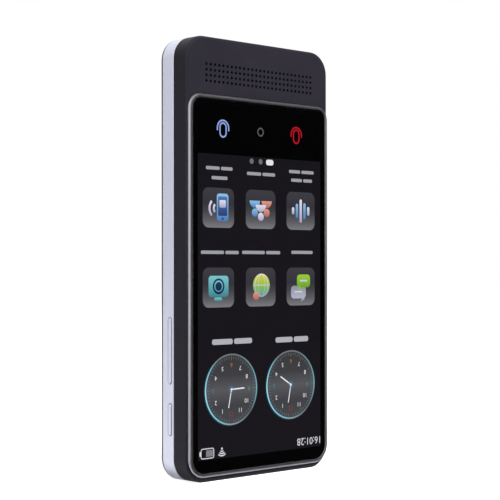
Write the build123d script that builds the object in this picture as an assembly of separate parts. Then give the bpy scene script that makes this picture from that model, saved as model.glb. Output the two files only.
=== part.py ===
"""Handheld translator: a slab-shaped touch-screen device with a speaker above the screen.

X runs across the width, Y from the screen side to the back, Z up along the length.
The device stands on its plain end, and its speaker and port end is up.
The origin is in the middle of the standing face. All lengths are in millimetres.
"""
import os

from build123d import *

# ---------------------------------------------------------------- driving dimensions
# Display and the band of touch keys beyond it
display_width = 61.5
display_height = 107.8
panel_thickness = 0.8
backlight_thickness = 0.8
backlight_edge_radius = 0.3
driver_ledge = 2.2           # strip of the panel that the backlight leaves free
touch_board_inset = 1.75     # from the display's side to the touch key board's
touch_board_height = 10.4
touch_board_gap = 1.7        # from the display to the touch key board
touch_board_margin = 3.4     # from the touch key board to the window's edge
touch_key_spacing = 17.9
light_guide_thickness = 0.6
touch_board_thickness = 0.6
key_led_width = 1.6
key_led_height = 0.8
key_led_thickness = 0.4
key_led_gap = 0.05

# Glass, its tape and the raised bezel
window_gap = 0.2             # around the display, at its long sides
window_corner = 1.0
flex_gap = 0.5               # below the display, where its flex passes
glass_ledge_side = 1.35
glass_ledge_low = 1.75
glass_ledge_high = 1.7
glass_thickness = 1.1
glass_sink = 0.1             # the glass lies this far below the bezel's front edge
glass_gap = 0.05
tape_thickness = 0.3
glass_edge_radius = 0.3
bezel_width = 1.4
bezel_seat = 0.6             # depth of the bezel's seat in the front face
bezel_gap = 0.15
bezel_low_corner = 6.6
bezel_high_corner = 5.0
bezel_outer_radius = 0.85
bezel_inner_bevel = 0.15

# Shells
side_margin = 0.65           # from the bezel to the side of the body
low_margin = 1.75            # from the bezel to the standing end
forehead_height = 19.7       # from the bezel to the speaker end
wall = 1.8
corner_radius = 8.0
front_edge_radius = 1.2
back_edge_radius = 1.7
parting_bevel = 0.15
front_depth = 6.9            # front housing, from its front face to the parting plane
rear_floor = 2.0
lip_thickness = 0.8
lip_height = 1.0
lip_gap = 0.1
cover_inset = 3.2            # from the side of the body to the back cover
cover_thickness = 0.8
cover_gap = 0.12
cover_corner = 4.6
display_clearance = 0.1

# Case screws and their inserts
screw_radius = 0.8
screw_grip = 1.6             # length of a screw inside its insert
screw_head_radius = 1.5
screw_head_height = 0.9
screw_hole_gap = 0.1
screw_inset = 5.1            # from the side of the body to the screws
low_screw_z = 8.5
mid_screw_offset = 10.0      # from the volume key's end
upper_screw_offset = 7.0     # from the battery's end
top_screw_inset = 8.0
boss_radius = 2.0
insert_radius = 1.2
insert_length = 2.6

# Frame plate, boards and battery
mid_plate_thickness = 0.8
mid_plate_gap = 0.2
board_thickness = 0.8
board_side_gap = 5.9
board_end_gap = 2.4
board_corner = 1.0
main_board_height = 37.0
standoff_height = 2.6
standoff_radius = 1.5
standoff_inset = 2.3
board_screw_radius = 0.7
board_screw_head_radius = 1.3
board_screw_head_height = 0.5
board_screw_length = 1.6
battery_gap = 1.8
battery_side_gap = 1.55      # from the foot of the key bracket
battery_clearance = 22.1     # from the battery to the speaker's box
battery_thickness = 8.0
battery_corner = 2.0
battery_edge_radius = 1.6
battery_tape_thickness = 0.3
battery_tape_inset = 5.0
circuit_inset = 4.0
circuit_height = 3.2
circuit_thickness = 2.1
swelling_gap = 1.0
port_board_gap = 2.2
port_board_boss_radius = 1.6

# Flexes, leads and their sockets
flex_thickness = 0.2
fine_flex_thickness = 0.15
flex_slot_gap = 0.6          # round a flex, where it passes the frame plate
flex_bend_gap = 0.2          # from a board's end to the flex that turns round it
display_flex_width = 16.0
touch_flex_width = 8.0
touch_flex_inset = 9.0       # from the touch key board's side
touch_flex_reach = 2.0       # beyond the touch key board
link_width = 7.0
link_inset = 6.3             # from the main board's side
link_reach = 4.0             # over the port board
lead_width = 4.0
lead_inset = 15.0            # from the battery's side
lead_bend_gap = 0.6
connector_height = 1.0
socket_length = 2.8
display_socket_width = 12.0
display_socket_inset = 0.6   # from the main board's end
battery_socket_width = 6.0
battery_socket_inset = 1.8
link_socket_inset = 5.8
touch_socket_inset = 0.4

# Shields and chips
shield_wall = 0.2
shield_corner = 0.6
front_shield_width = 36.0
front_shield_height = 24.0
front_shield_depth = 1.6
front_shield_inset = 6.8     # from the main board's side
front_shield_offset = 22.0   # from the main board's end to the shield's middle
rear_shield_width = 26.0
rear_shield_height = 16.0
rear_shield_depth = 1.8
rear_shield_inset = 5.8
rear_shield_offset = 26.0
processor_size = 13.0
processor_thickness = 1.1
memory_width = 11.0
memory_height = 13.0
memory_thickness = 0.9
chip_spacing = 16.0          # between the middles of the processor and the memory
power_chip_size = 6.0
power_chip_thickness = 0.9
radio_chip_size = 7.0
radio_chip_thickness = 0.8
rear_chip_spacing = 12.0

# Speaker
speaker_offset = 7.4         # from the bezel to the middle of the grille
grille_rows = 4
grille_pitch_x = 1.955
grille_pitch_z = 1.9
grille_hole_radius = 0.52
mesh_thickness = 0.15
gasket_thickness = 0.65
speaker_boss_gap = 0.5       # from the speaker to the screw bosses beside it
speaker_height = 12.2
speaker_depth = 4.0
speaker_wall = 0.8
speaker_corner = 2.0
cone_width = 34.0
cone_height = 9.2
cone_thickness = 0.6
cone_inset = 0.8
cone_rim = 1.5
dish_depth = 0.3
magnet_width = 16.0
magnet_height = 8.0
magnet_corner = 1.0
contact_radius = 0.5
contact_spacing = 4.0
contact_offset = 13.45       # from the speaker's side to the middle of its contacts

# Side keys
power_z = 21.3
power_length = 11.0
volume_length = 22.6
key_spacing = 6.6            # between the two keys
key_width = 1.7
key_setback = 1.85           # from the parting plane to the middle of the keys
key_raise = 0.4
key_gap = 0.18
key_edge_radius = 0.3
flange_gap = 0.3
flange_thickness = 0.6
flange_margin = 0.55
nub_height = 0.25
nub_radius = 0.8
nub_gap = 0.05
switch_offset = 7.5          # volume switches, from the middle of the key
plunger_radius = 0.6
plunger_raise = 0.45
plunger_length = 0.9
plunger_clearance = 0.08
switch_height = 1.3
switch_length = 3.5
switch_width = 2.6
bore_spare = 0.4             # space behind a plunger at rest
key_board_thickness = 0.4
key_board_width = 3.4
key_board_inset = 0.5
bracket_thickness = 0.4
bracket_foot = 1.8
bracket_margin = 2.6
fulcrum_radius = 0.7
saddle_margin = 0.5          # of the volume key's saddle, beyond the fulcrum it sits on
saddle_floor = 0.15          # from the flange to the bottom of the saddle
saddle_setback = 0.1         # from the middle of the fulcrum to the saddle's ends

# Port, microphones, camera, flash and vibration motor
usb_width = 8.94
usb_height = 3.2
usb_depth = 7.3
usb_wall = 0.3
usb_sink = 0.2
usb_gap = 0.15
tongue_width = 6.7
tongue_thickness = 0.7
tongue_length = 4.9
usb_base_length = 1.6
microphone_inset = 20.5      # from the side of the body
microphone_hole_radius = 0.5
microphone_boot_length = 1.6
microphone_boot_width = 4.6
microphone_boot_depth = 2.4
microphone_width = 3.5
microphone_height = 1.0
camera_inset = 17.5          # from the side of the body
camera_z = 16.5
camera_body = 8.6
camera_body_depth = 4.0
camera_corner = 0.5
barrel_radius = 3.3
barrel_depth = 2.9
barrel_bore_radius = 1.6
barrel_bore_depth = 1.2
camera_gap = 0.4
camera_raise = 0.4
trim_radius = 6.0
trim_width = 1.4
trim_edge_radius = 0.25
trim_ledge = 0.4
trim_ledge_width = 1.0
camera_window_thickness = 0.6
flash_spacing = 12.0         # from the camera to the flash
flash_radius = 2.1
flash_pipe_radius = 1.5
flash_led_size = 2.2
flash_led_height = 0.7
flash_gap = 0.1
motor_inset = 16.5           # from the side of the body
motor_offset = 10.0          # from the battery's end
motor_radius = 4.0
motor_height = 2.7
antenna_width = 24.0
antenna_height = 8.0
antenna_corner = 0.5
antenna_inset = 22.5         # from the side of the body
antenna_offset = 10.0        # from the camera

# ---------------------------------------------------------------- planes across the depth
bezel_raise = tape_thickness + glass_thickness + glass_sink - bezel_seat
front_plate = (bezel_seat - tape_thickness + panel_thickness + backlight_thickness
               + display_clearance)
battery_back_depth = (front_plate + mid_plate_thickness + battery_tape_thickness
                      + battery_thickness)
shell_depth = battery_back_depth + swelling_gap + rear_floor
front_y = (bezel_raise - camera_raise - shell_depth) / 2
back_y = front_y + shell_depth
parting_y = front_y + front_depth
floor_y = back_y - rear_floor
seat_y = front_y + bezel_seat
glass_back_y = seat_y - tape_thickness
glass_y = glass_back_y - glass_thickness
bezel_y = glass_y - glass_sink
panel_back_y = glass_back_y + panel_thickness
display_back_y = panel_back_y + backlight_thickness
plate_back_y = front_y + front_plate
mid_back_y = plate_back_y + mid_plate_thickness
battery_y = mid_back_y + battery_tape_thickness
battery_back_y = battery_y + battery_thickness
board_y = mid_back_y + standoff_height
board_back_y = board_y + board_thickness
port_board_back_y = battery_back_y
port_board_y = port_board_back_y - board_thickness
light_guide_back_y = glass_back_y + light_guide_thickness
touch_board_back_y = light_guide_back_y + touch_board_thickness
cover_y = back_y - cover_thickness
screw_head_y = cover_y - screw_head_height
camera_barrel_y = board_back_y + camera_body_depth
key_y = parting_y + key_setback
gasket_y = plate_back_y + mesh_thickness
speaker_y = gasket_y + gasket_thickness
speaker_back_y = speaker_y + speaker_depth
cone_y = speaker_y + cone_inset
cone_back_y = cone_y + cone_thickness

# ---------------------------------------------------------------- widths and heights
window_width = display_width + 2 * window_gap
glass_width = window_width + 2 * glass_ledge_side
bezel_outer_width = glass_width + 2 * bezel_width
body_width = bezel_outer_width + 2 * side_margin
inner_width = body_width - 2 * wall
inner_x = inner_width / 2
side_x = body_width / 2
touch_board_width = display_width - 2 * touch_board_inset

bezel_low = low_margin
glass_low = bezel_low + bezel_width
window_low = glass_low + glass_ledge_low
display_low = window_low + flex_gap
display_high = display_low + display_height
touch_board_low = display_high + touch_board_gap
touch_board_high = touch_board_low + touch_board_height
touch_z = (touch_board_low + touch_board_high) / 2
window_high = touch_board_high + touch_board_margin
glass_high = window_high + glass_ledge_high
bezel_high = glass_high + bezel_width
body_height = bezel_high + forehead_height
middle_z = body_height / 2
inner_high = body_height - wall

board_width = inner_width - 2 * board_side_gap
board_low = wall + board_end_gap
board_high = board_low + main_board_height
battery_low = board_high + battery_gap
speaker_z = bezel_high + speaker_offset
battery_high = speaker_z - speaker_height / 2 - battery_clearance
battery_z = (battery_low + battery_high) / 2
port_board_low = battery_high + port_board_gap
port_board_high = inner_high - mid_plate_gap
mid_plate_high = bezel_high

volume_z = power_z + power_length / 2 + key_spacing + volume_length / 2
volume_switch_heights = (volume_z - switch_offset, volume_z + switch_offset)
bracket_low = power_z - power_length / 2 - bracket_margin
bracket_high = volume_z + volume_length / 2 + bracket_margin
flange_x = -inner_x + flange_gap
flange_inner_x = flange_x + flange_thickness
nub_x = flange_inner_x + nub_height
plunger_x = nub_x + nub_gap
switch_x = plunger_x + plunger_raise
key_board_x = switch_x + switch_height
bracket_x = key_board_x + key_board_thickness
bracket_inner_x = bracket_x + bracket_thickness
fulcrum_x = flange_inner_x + saddle_floor + nub_gap + fulcrum_radius
battery_width = -2 * (bracket_x + bracket_foot + battery_side_gap)

screw_x = side_x - screw_inset
speaker_width = 2 * (screw_x - boss_radius - speaker_boss_gap)
grille_width = speaker_width - 2 * (speaker_wall + grille_hole_radius)
grille_columns = 1 + int(grille_width / grille_pitch_x)
screw_heights = (low_screw_z,
                 volume_z + volume_length / 2 + mid_screw_offset,
                 battery_high + upper_screw_offset,
                 body_height - top_screw_inset)
screw_places = [(side * screw_x, z) for side in (-1, 1) for z in screw_heights]
standoff_places = [(side * (board_width / 2 - standoff_inset), z)
                   for side in (-1, 1)
                   for z in (board_low + standoff_inset, board_high - standoff_inset)]
port_screw_places = [(side * (board_width / 2 - standoff_inset), port_board_low + standoff_inset)
                     for side in (-1, 1)]
camera_x = side_x - camera_inset
flash_x = camera_x - flash_spacing
motor_x = side_x - motor_inset
motor_z = battery_high + motor_offset
microphone_x = microphone_inset - side_x
antenna_x = antenna_inset - side_x
touch_flex_x = touch_flex_inset + (touch_flex_width - touch_board_width) / 2
touch_flex_z = touch_board_high + touch_flex_reach
link_x = (board_width - link_width) / 2 - link_inset
lead_x = (battery_width - lead_width) / 2 - lead_inset
front_shield_x = front_shield_inset + (front_shield_width - board_width) / 2
front_shield_z = board_low + front_shield_offset
rear_shield_x = rear_shield_inset + (rear_shield_width - board_width) / 2
rear_shield_z = board_low + rear_shield_offset


# ---------------------------------------------------------------- shared shapes
def front_plane(x, z, y):
    """Sketch plane that faces the screen side, with X to the right and Z up."""
    return Plane(origin=(x, y, z), x_dir=(1, 0, 0), z_dir=(0, -1, 0))


def slab(width, height, x, z, y_front, y_back, radius=0.0):
    """Plate parallel to the screen, centred on x and z, with rounded corners."""
    outline = RectangleRounded(width, height, radius) if radius > 0 else Rectangle(width, height)
    return extrude(front_plane(x, z, y_back) * outline, amount=y_back - y_front)


def block(x_low, x_high, y_low, y_high, z_low, z_high):
    """Box between two corners."""
    size = (x_high - x_low, y_high - y_low, z_high - z_low)
    middle = ((x_low + x_high) / 2, (y_low + y_high) / 2, (z_low + z_high) / 2)
    return Pos(*middle) * Box(*size)


def rod(radius, x, z, y_front, y_back):
    """Round bar along Y."""
    return extrude(front_plane(x, z, y_back) * Circle(radius), amount=y_back - y_front)


def peg(radius, y, z, x_low, x_high):
    """Round bar along X."""
    plane = Plane(origin=(x_low, y, z), x_dir=(0, 1, 0), z_dir=(1, 0, 0))
    return extrude(plane * Circle(radius), amount=x_high - x_low)


def pin(radius, x, y, z_low, z_high):
    """Round bar along Z."""
    return Pos(x, y, (z_low + z_high) / 2) * Cylinder(radius, z_high - z_low)


def side_slot(width, length, z, x_low, x_high):
    """Bar along X with a slot-shaped section that stands along Z."""
    plane = Plane(origin=(x_low, key_y, z), x_dir=(0, 0, 1), z_dir=(1, 0, 0))
    return extrude(plane * SlotOverall(length, width), amount=x_high - x_low)


def screen_outline(inset):
    """The bezel's outline, drawn in from its outer edge, with its own radius at each end."""
    width = bezel_outer_width - 2 * inset
    height = bezel_high - bezel_low - 2 * inset
    outline = Rectangle(width, height)
    low = outline.vertices().group_by(Axis.Y)[0]
    outline = fillet(low, bezel_low_corner - inset)
    high = outline.vertices().group_by(Axis.Y)[-1]
    return fillet(high, bezel_high_corner - inset)


def screen_slab(inset, y_front, y_back):
    """Plate with the screen's outline."""
    plane = front_plane(0, (bezel_low + bezel_high) / 2, y_back)
    return extrude(plane * screen_outline(inset), amount=y_back - y_front)


def front_edges(shape):
    """Edges of the face that lies furthest to the screen side."""
    return shape.faces().sort_by(Axis.Y)[0].edges()


def back_edges(shape):
    """Edges of the face that lies furthest to the back."""
    return shape.faces().sort_by(Axis.Y)[-1].edges()


def key_zone():
    """Part of the side wall that belongs to the keys, free of the joining lip."""
    return block(-side_x, -inner_x + lip_gap, front_y, back_y, bracket_low, bracket_high)


# ---------------------------------------------------------------- front housing
def grille_holes():
    places = GridLocations(grille_pitch_x, grille_pitch_z, grille_columns, grille_rows)
    plane = front_plane(0, speaker_z, plate_back_y)
    holes = Sketch() + [place * Circle(grille_hole_radius) for place in places]
    return extrude(plane * holes, amount=front_plate)


def joining_lip(extra):
    """Tongue on the inner half of the wall, or its groove when extra is above 0."""
    growth = 2 * (lip_thickness + extra)
    radius = corner_radius - wall
    outer = slab(inner_width + growth, inner_high - wall + growth, 0, middle_z,
                 parting_y, parting_y + lip_height + extra, radius + lip_thickness + extra)
    inner = slab(inner_width, inner_high - wall, 0, middle_z,
                 parting_y, parting_y + lip_height + extra, radius)
    return outer - inner - key_zone()


def front_boss(x, z):
    """Boss that holds a thread insert, tied to the side wall by a web."""
    side = 1 if x > 0 else -1
    reach = sorted((x, side * (inner_x + lip_gap)))
    post = rod(boss_radius, x, z, plate_back_y, parting_y)
    web = block(reach[0], reach[1], plate_back_y, parting_y, z - boss_radius, z + boss_radius)
    return post + web


def make_front_housing():
    shell = slab(body_width, body_height, 0, middle_z, front_y, parting_y, corner_radius)
    shell = fillet(front_edges(shell), front_edge_radius)
    shell = chamfer(back_edges(shell), parting_bevel)
    shell -= slab(inner_width, inner_high - wall, 0, middle_z, plate_back_y, parting_y,
                  corner_radius - wall)
    shell += joining_lip(0)
    for x, z in screw_places:
        shell += front_boss(x, z)
        shell -= rod(insert_radius, x, z, parting_y - insert_length, parting_y)
    window_z = (window_low + window_high) / 2
    shell -= slab(window_width, window_high - window_low, 0, window_z, front_y, plate_back_y,
                  window_corner)
    shell -= screen_slab(-bezel_gap, front_y, seat_y)
    shell -= usb_slab(usb_gap, inner_high, body_height)
    return shell - grille_holes()


# ---------------------------------------------------------------- rear housing and cover
def cover_slab(growth, y_front, y_back):
    width = body_width - 2 * cover_inset + 2 * growth
    height = body_height - 2 * cover_inset + 2 * growth
    return slab(width, height, 0, middle_z, y_front, y_back, cover_corner + growth)


def rear_post(x, z):
    """Post that a case screw passes through, tied to the side wall by a web."""
    side = 1 if x > 0 else -1
    reach = sorted((x, side * (inner_x + lip_gap)))
    web_y = parting_y + lip_height + lip_gap
    post = rod(boss_radius, x, z, parting_y, floor_y)
    return post + block(reach[0], reach[1], web_y, floor_y, z - boss_radius, z + boss_radius)


def screw_passage(x, z):
    passage = rod(screw_radius + screw_hole_gap, x, z, parting_y, cover_y)
    return passage + rod(screw_head_radius + screw_hole_gap, x, z, screw_head_y, cover_y)


def usb_slab(growth, z_low, z_high):
    """Bar with the port's stadium section."""
    middle_y = port_board_y - usb_height / 2
    plane = Plane(origin=(0, middle_y, z_low))
    outline = SlotOverall(usb_width + 2 * growth, usb_height + 2 * growth)
    return extrude(plane * outline, amount=z_high - z_low)


def key_openings():
    width = key_width + 2 * key_gap
    power = side_slot(width, power_length + 2 * key_gap, power_z, -side_x, -inner_x)
    return power + side_slot(width, volume_length + 2 * key_gap, volume_z, -side_x, -inner_x)


def microphone_holes():
    low = pin(microphone_hole_radius, microphone_x, key_y, 0, wall)
    return low + pin(microphone_hole_radius, microphone_x, key_y, inner_high, body_height)


def make_rear_housing():
    shell = slab(body_width, body_height, 0, middle_z, parting_y, back_y, corner_radius)
    shell = fillet(back_edges(shell), back_edge_radius)
    shell = chamfer(front_edges(shell), parting_bevel)
    shell -= slab(inner_width, inner_high - wall, 0, middle_z, parting_y, floor_y,
                  corner_radius - wall)
    shell -= joining_lip(lip_gap)
    for x, z in screw_places:
        shell += rear_post(x, z)
        shell -= screw_passage(x, z)
    for x, z in port_screw_places:
        shell += rod(port_board_boss_radius, x, z, port_board_back_y, floor_y)
        shell -= rod(board_screw_radius, x, z, port_board_back_y,
                     port_board_y + board_screw_length)
    shell -= cover_slab(cover_gap, cover_y, back_y)
    shell -= rod(barrel_radius + camera_gap, camera_x, camera_z, floor_y, cover_y)
    shell -= rod(flash_pipe_radius + flash_gap, flash_x, camera_z, floor_y, cover_y)
    shell -= usb_slab(usb_gap, inner_high, body_height)
    return shell - key_openings() - microphone_holes()


def make_back_cover():
    cover = cover_slab(0, cover_y, back_y)
    cover -= rod(trim_radius + cover_gap, camera_x, camera_z, cover_y, back_y)
    return cover - rod(flash_radius + cover_gap, flash_x, camera_z, cover_y, back_y)


def make_case_screws():
    screws = []
    for x, z in screw_places:
        shank = rod(screw_radius, x, z, parting_y - screw_grip, screw_head_y)
        screws.append(shank + rod(screw_head_radius, x, z, screw_head_y, cover_y))
    return Compound(children=screws)


def make_thread_inserts():
    inserts = []
    for x, z in screw_places:
        sleeve = rod(insert_radius, x, z, parting_y - insert_length, parting_y)
        inserts.append(sleeve - rod(screw_radius, x, z, parting_y - insert_length, parting_y))
    return Compound(children=inserts)


# ---------------------------------------------------------------- screen
def make_screen_bezel():
    ring = screen_slab(0, bezel_y, seat_y)
    ring = fillet(front_edges(ring), bezel_outer_radius)
    ring -= screen_slab(bezel_width, bezel_y, seat_y)
    opening = ring.faces().sort_by(Axis.Y)[0].inner_wires()[0]
    return chamfer(opening.edges(), bezel_inner_bevel)


def make_cover_glass():
    glass = screen_slab(bezel_width + glass_gap, glass_y, glass_back_y)
    return fillet(front_edges(glass), glass_edge_radius)


def make_glass_tape():
    tape = screen_slab(bezel_width + glass_gap, glass_back_y, seat_y)
    window_z = (window_low + window_high) / 2
    return tape - slab(window_width, window_high - window_low, 0, window_z,
                       glass_back_y, seat_y, window_corner)


def make_display_panel():
    middle = (display_low + display_high) / 2
    return slab(display_width, display_height, 0, middle, glass_back_y, panel_back_y)


def make_display_backlight():
    low = display_low + driver_ledge
    tray = slab(display_width, display_high - low, 0, (low + display_high) / 2,
                panel_back_y, display_back_y)
    return fillet(back_edges(tray), backlight_edge_radius)


def make_display_flex():
    """Strip from the panel's ledge, round the frame plate, to the main board."""
    t = fine_flex_thickness
    bend_z = window_low + t
    landing_y = board_y - connector_height
    half = display_flex_width / 2
    ledge = block(-half, half, panel_back_y, panel_back_y + t, bend_z,
                  display_low + driver_ledge - t)
    riser = block(-half, half, panel_back_y, landing_y, bend_z, bend_z + t)
    landing = block(-half, half, landing_y - t, landing_y, bend_z,
                    board_low + display_socket_inset + socket_length)
    return ledge + riser + landing


def key_led(x, growth):
    """Lamp of one touch key, or the pocket it sits in when growth is above 0."""
    return slab(key_led_width + 2 * growth, key_led_height + 2 * growth, x, touch_z,
                light_guide_back_y - key_led_thickness - growth, light_guide_back_y)


def make_key_light_guide():
    guide = slab(touch_board_width, touch_board_height, 0, touch_z,
                 glass_back_y, light_guide_back_y, board_corner)
    for x in (-touch_key_spacing, 0, touch_key_spacing):
        guide -= key_led(x, key_led_gap)
    return guide


def make_key_leds():
    leds = [key_led(x, 0) for x in (-touch_key_spacing, 0, touch_key_spacing)]
    return Compound(children=leds)


def make_touch_key_board():
    return slab(touch_board_width, touch_board_height, 0, touch_z,
                light_guide_back_y, touch_board_back_y, board_corner)


def make_touch_flex():
    """Strip from the touch key board, through the frame plate, to the port board."""
    t = fine_flex_thickness
    low_x = touch_flex_x - touch_flex_width / 2
    high_x = touch_flex_x + touch_flex_width / 2
    landing_y = port_board_y - connector_height
    start = block(low_x, high_x, touch_board_back_y, touch_board_back_y + t,
                  touch_z, touch_flex_z)
    riser = block(low_x, high_x, touch_board_back_y, landing_y,
                  touch_flex_z - t, touch_flex_z)
    landing = block(low_x, high_x, landing_y - t, landing_y,
                    touch_flex_z - touch_socket_inset - socket_length, touch_flex_z)
    return start + riser + landing


# ---------------------------------------------------------------- frame plate and boards
def make_mid_plate():
    low = wall + mid_plate_gap
    width = inner_width - 2 * mid_plate_gap
    plate = slab(width, mid_plate_high - low, 0, (low + mid_plate_high) / 2,
                 plate_back_y, mid_back_y, corner_radius - wall - mid_plate_gap)
    for x, z in screw_places:
        reach = sorted((x, (1 if x > 0 else -1) * inner_x))
        half = boss_radius + mid_plate_gap
        plate -= rod(half, x, z, plate_back_y, mid_back_y)
        plate -= block(reach[0], reach[1], plate_back_y, mid_back_y, z - half, z + half)
    half = display_flex_width / 2 + flex_slot_gap
    plate -= block(-half, half, plate_back_y, mid_back_y, low, display_low + mid_plate_gap)
    half = touch_flex_width / 2 + flex_slot_gap
    return plate - block(touch_flex_x - half, touch_flex_x + half, plate_back_y, mid_back_y,
                         touch_flex_z - fine_flex_thickness - flex_slot_gap,
                         touch_flex_z + flex_slot_gap)


def make_main_board():
    board = slab(board_width, main_board_height, 0, (board_low + board_high) / 2,
                 board_y, board_back_y, board_corner)
    for x, z in standoff_places:
        board -= rod(board_screw_radius + screw_hole_gap, x, z, board_y, board_back_y)
    return board


def make_board_standoffs():
    standoffs = []
    for x, z in standoff_places:
        post = rod(standoff_radius, x, z, mid_back_y, board_y)
        depth = board_screw_length - board_thickness
        standoffs.append(post - rod(board_screw_radius, x, z, board_y - depth, board_y))
    return Compound(children=standoffs)


def make_board_screws():
    screws = []
    for x, z in standoff_places:
        shank = rod(board_screw_radius, x, z, board_back_y - board_screw_length, board_back_y)
        screws.append(shank + rod(board_screw_head_radius, x, z, board_back_y,
                                  board_back_y + board_screw_head_height))
    for x, z in port_screw_places:
        shank = rod(board_screw_radius, x, z, port_board_y, port_board_y + board_screw_length)
        screws.append(shank + rod(board_screw_head_radius, x, z,
                                  port_board_y - board_screw_head_height, port_board_y))
    return Compound(children=screws)


def shield_can(x, z, width, height, y_board, depth):
    """Thin lid that opens onto a board; depth is negative towards the screen side."""
    far_y = y_board + depth
    lid_y = far_y - shield_wall if depth > 0 else far_y + shield_wall
    outer = slab(width, height, x, z, min(y_board, far_y), max(y_board, far_y), shield_corner)
    return outer - slab(width - 2 * shield_wall, height - 2 * shield_wall, x, z,
                        min(y_board, lid_y), max(y_board, lid_y), shield_corner - shield_wall)


def make_front_shield():
    return shield_can(front_shield_x, front_shield_z, front_shield_width, front_shield_height,
                      board_y, -front_shield_depth)


def make_rear_shield():
    return shield_can(rear_shield_x, rear_shield_z, rear_shield_width, rear_shield_height,
                      board_back_y, rear_shield_depth)


def make_processor():
    return slab(processor_size, processor_size, front_shield_x - chip_spacing / 2,
                front_shield_z, board_y - processor_thickness, board_y)


def make_memory():
    return slab(memory_width, memory_height, front_shield_x + chip_spacing / 2,
                front_shield_z, board_y - memory_thickness, board_y)


def make_power_chip():
    return slab(power_chip_size, power_chip_size, rear_shield_x - rear_chip_spacing / 2,
                rear_shield_z, board_back_y, board_back_y + power_chip_thickness)


def make_radio_chip():
    return slab(radio_chip_size, radio_chip_size, rear_shield_x + rear_chip_spacing / 2,
                rear_shield_z, board_back_y, board_back_y + radio_chip_thickness)


def front_socket(x, width, y_board, z_low):
    """Flex socket on the screen side of a board."""
    return block(x - width / 2, x + width / 2, y_board - connector_height, y_board,
                 z_low, z_low + socket_length)


def rear_socket(x, width, z_high):
    """Flex socket on the back of the main board."""
    return block(x - width / 2, x + width / 2, board_back_y, board_back_y + connector_height,
                 z_high - socket_length, z_high)


def make_board_connectors():
    """Sockets of the display, touch key, battery and link flexes."""
    display = front_socket(0, display_socket_width, board_y, board_low + display_socket_inset)
    touch = front_socket(touch_flex_x, touch_flex_width, port_board_y,
                         touch_flex_z - touch_socket_inset - socket_length)
    battery = rear_socket(lead_x, battery_socket_width, board_high - battery_socket_inset)
    link = rear_socket(link_x, link_width, board_high - link_socket_inset)
    return Compound(children=[display, touch, battery, link])


def make_link_flex():
    """Strip that joins the main board and the port board behind the battery."""
    t = flex_thickness
    low_x = link_x - link_width / 2
    high_x = link_x + link_width / 2
    landing_y = board_back_y + connector_height
    bend_z = board_high + flex_bend_gap
    landing = block(low_x, high_x, landing_y, landing_y + t,
                    board_high - link_socket_inset - socket_length, bend_z + t)
    riser = block(low_x, high_x, landing_y, battery_back_y + t, bend_z, bend_z + t)
    run = block(low_x, high_x, battery_back_y, battery_back_y + t, bend_z,
                port_board_low + link_reach)
    return landing + riser + run


# ---------------------------------------------------------------- battery
def make_battery_cell():
    low = battery_low + circuit_height
    cell = slab(battery_width, battery_high - low, 0, (low + battery_high) / 2,
                battery_y, battery_back_y, battery_corner)
    return fillet(front_edges(cell) + back_edges(cell), battery_edge_radius)


def make_battery_circuit():
    z = battery_low + circuit_height / 2
    return slab(battery_width - 2 * circuit_inset, circuit_height, 0, z, battery_y,
                battery_y + circuit_thickness)


def make_battery_tape():
    return slab(battery_width - 2 * battery_tape_inset, battery_high - battery_low - 2 * battery_tape_inset,
                0, battery_z, mid_back_y, battery_y)


def make_battery_lead():
    """Flat lead from the protection circuit to its socket on the main board."""
    t = flex_thickness
    low_x = lead_x - lead_width / 2
    high_x = lead_x + lead_width / 2
    y = battery_y + circuit_thickness
    socket_y = board_back_y + connector_height
    bend_z = board_high + lead_bend_gap
    start = block(low_x, high_x, y, y + t, bend_z, battery_low + circuit_height)
    riser = block(low_x, high_x, y, socket_y + t, bend_z, bend_z + t)
    landing = block(low_x, high_x, socket_y, socket_y + t,
                    board_high - battery_socket_inset - socket_length, bend_z + t)
    return start + riser + landing


# ---------------------------------------------------------------- port board and port
def make_port_board():
    board = slab(board_width, port_board_high - port_board_low, 0,
                 (port_board_low + port_board_high) / 2, port_board_y, port_board_back_y,
                 board_corner)
    for x, z in port_screw_places:
        board -= rod(board_screw_radius + screw_hole_gap, x, z, port_board_y, port_board_back_y)
    return board


def make_usb_shell():
    high = body_height - usb_sink
    return usb_slab(0, high - usb_depth, high) - usb_slab(-usb_wall, high - usb_depth, high)


def make_usb_tongue():
    """Base that fills the shell's inner end, and the contact tongue that stands on it."""
    low = body_height - usb_sink - usb_depth
    middle_y = port_board_y - usb_height / 2
    base = usb_slab(-usb_wall, low, low + usb_base_length)
    half = tongue_thickness / 2
    tongue = block(-tongue_width / 2, tongue_width / 2, middle_y - half, middle_y + half,
                   low, low + usb_base_length + tongue_length)
    return base + tongue


# ---------------------------------------------------------------- speaker
def speaker_slab(inset, y_front, y_back):
    """Plate with the speaker's outline, drawn in from its outer edge."""
    return slab(speaker_width - 2 * inset, speaker_height - 2 * inset, 0, speaker_z,
                y_front, y_back, speaker_corner - inset)


def cone_slab(inset, y_front, y_back):
    """Oblong with the diaphragm's outline, drawn in from its outer edge."""
    outline = SlotOverall(cone_width - 2 * inset, cone_height - 2 * inset)
    return extrude(front_plane(0, speaker_z, y_back) * outline, amount=y_back - y_front)


def make_grille_mesh():
    return speaker_slab(0, plate_back_y, gasket_y)


def make_speaker_gasket():
    return speaker_slab(0, gasket_y, speaker_y) - speaker_slab(speaker_wall, gasket_y, speaker_y)


def make_speaker_box():
    hollow = speaker_slab(speaker_wall, speaker_y, speaker_back_y - speaker_wall)
    return speaker_slab(0, speaker_y, speaker_back_y) - hollow


def make_speaker_cone():
    """Diaphragm with a raised rim, carried by the magnet behind it."""
    return cone_slab(0, cone_y, cone_back_y) - cone_slab(cone_rim, cone_y, cone_y + dish_depth)


def make_speaker_magnet():
    return slab(magnet_width, magnet_height, 0, speaker_z, cone_back_y,
                speaker_back_y - speaker_wall, magnet_corner)


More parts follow.
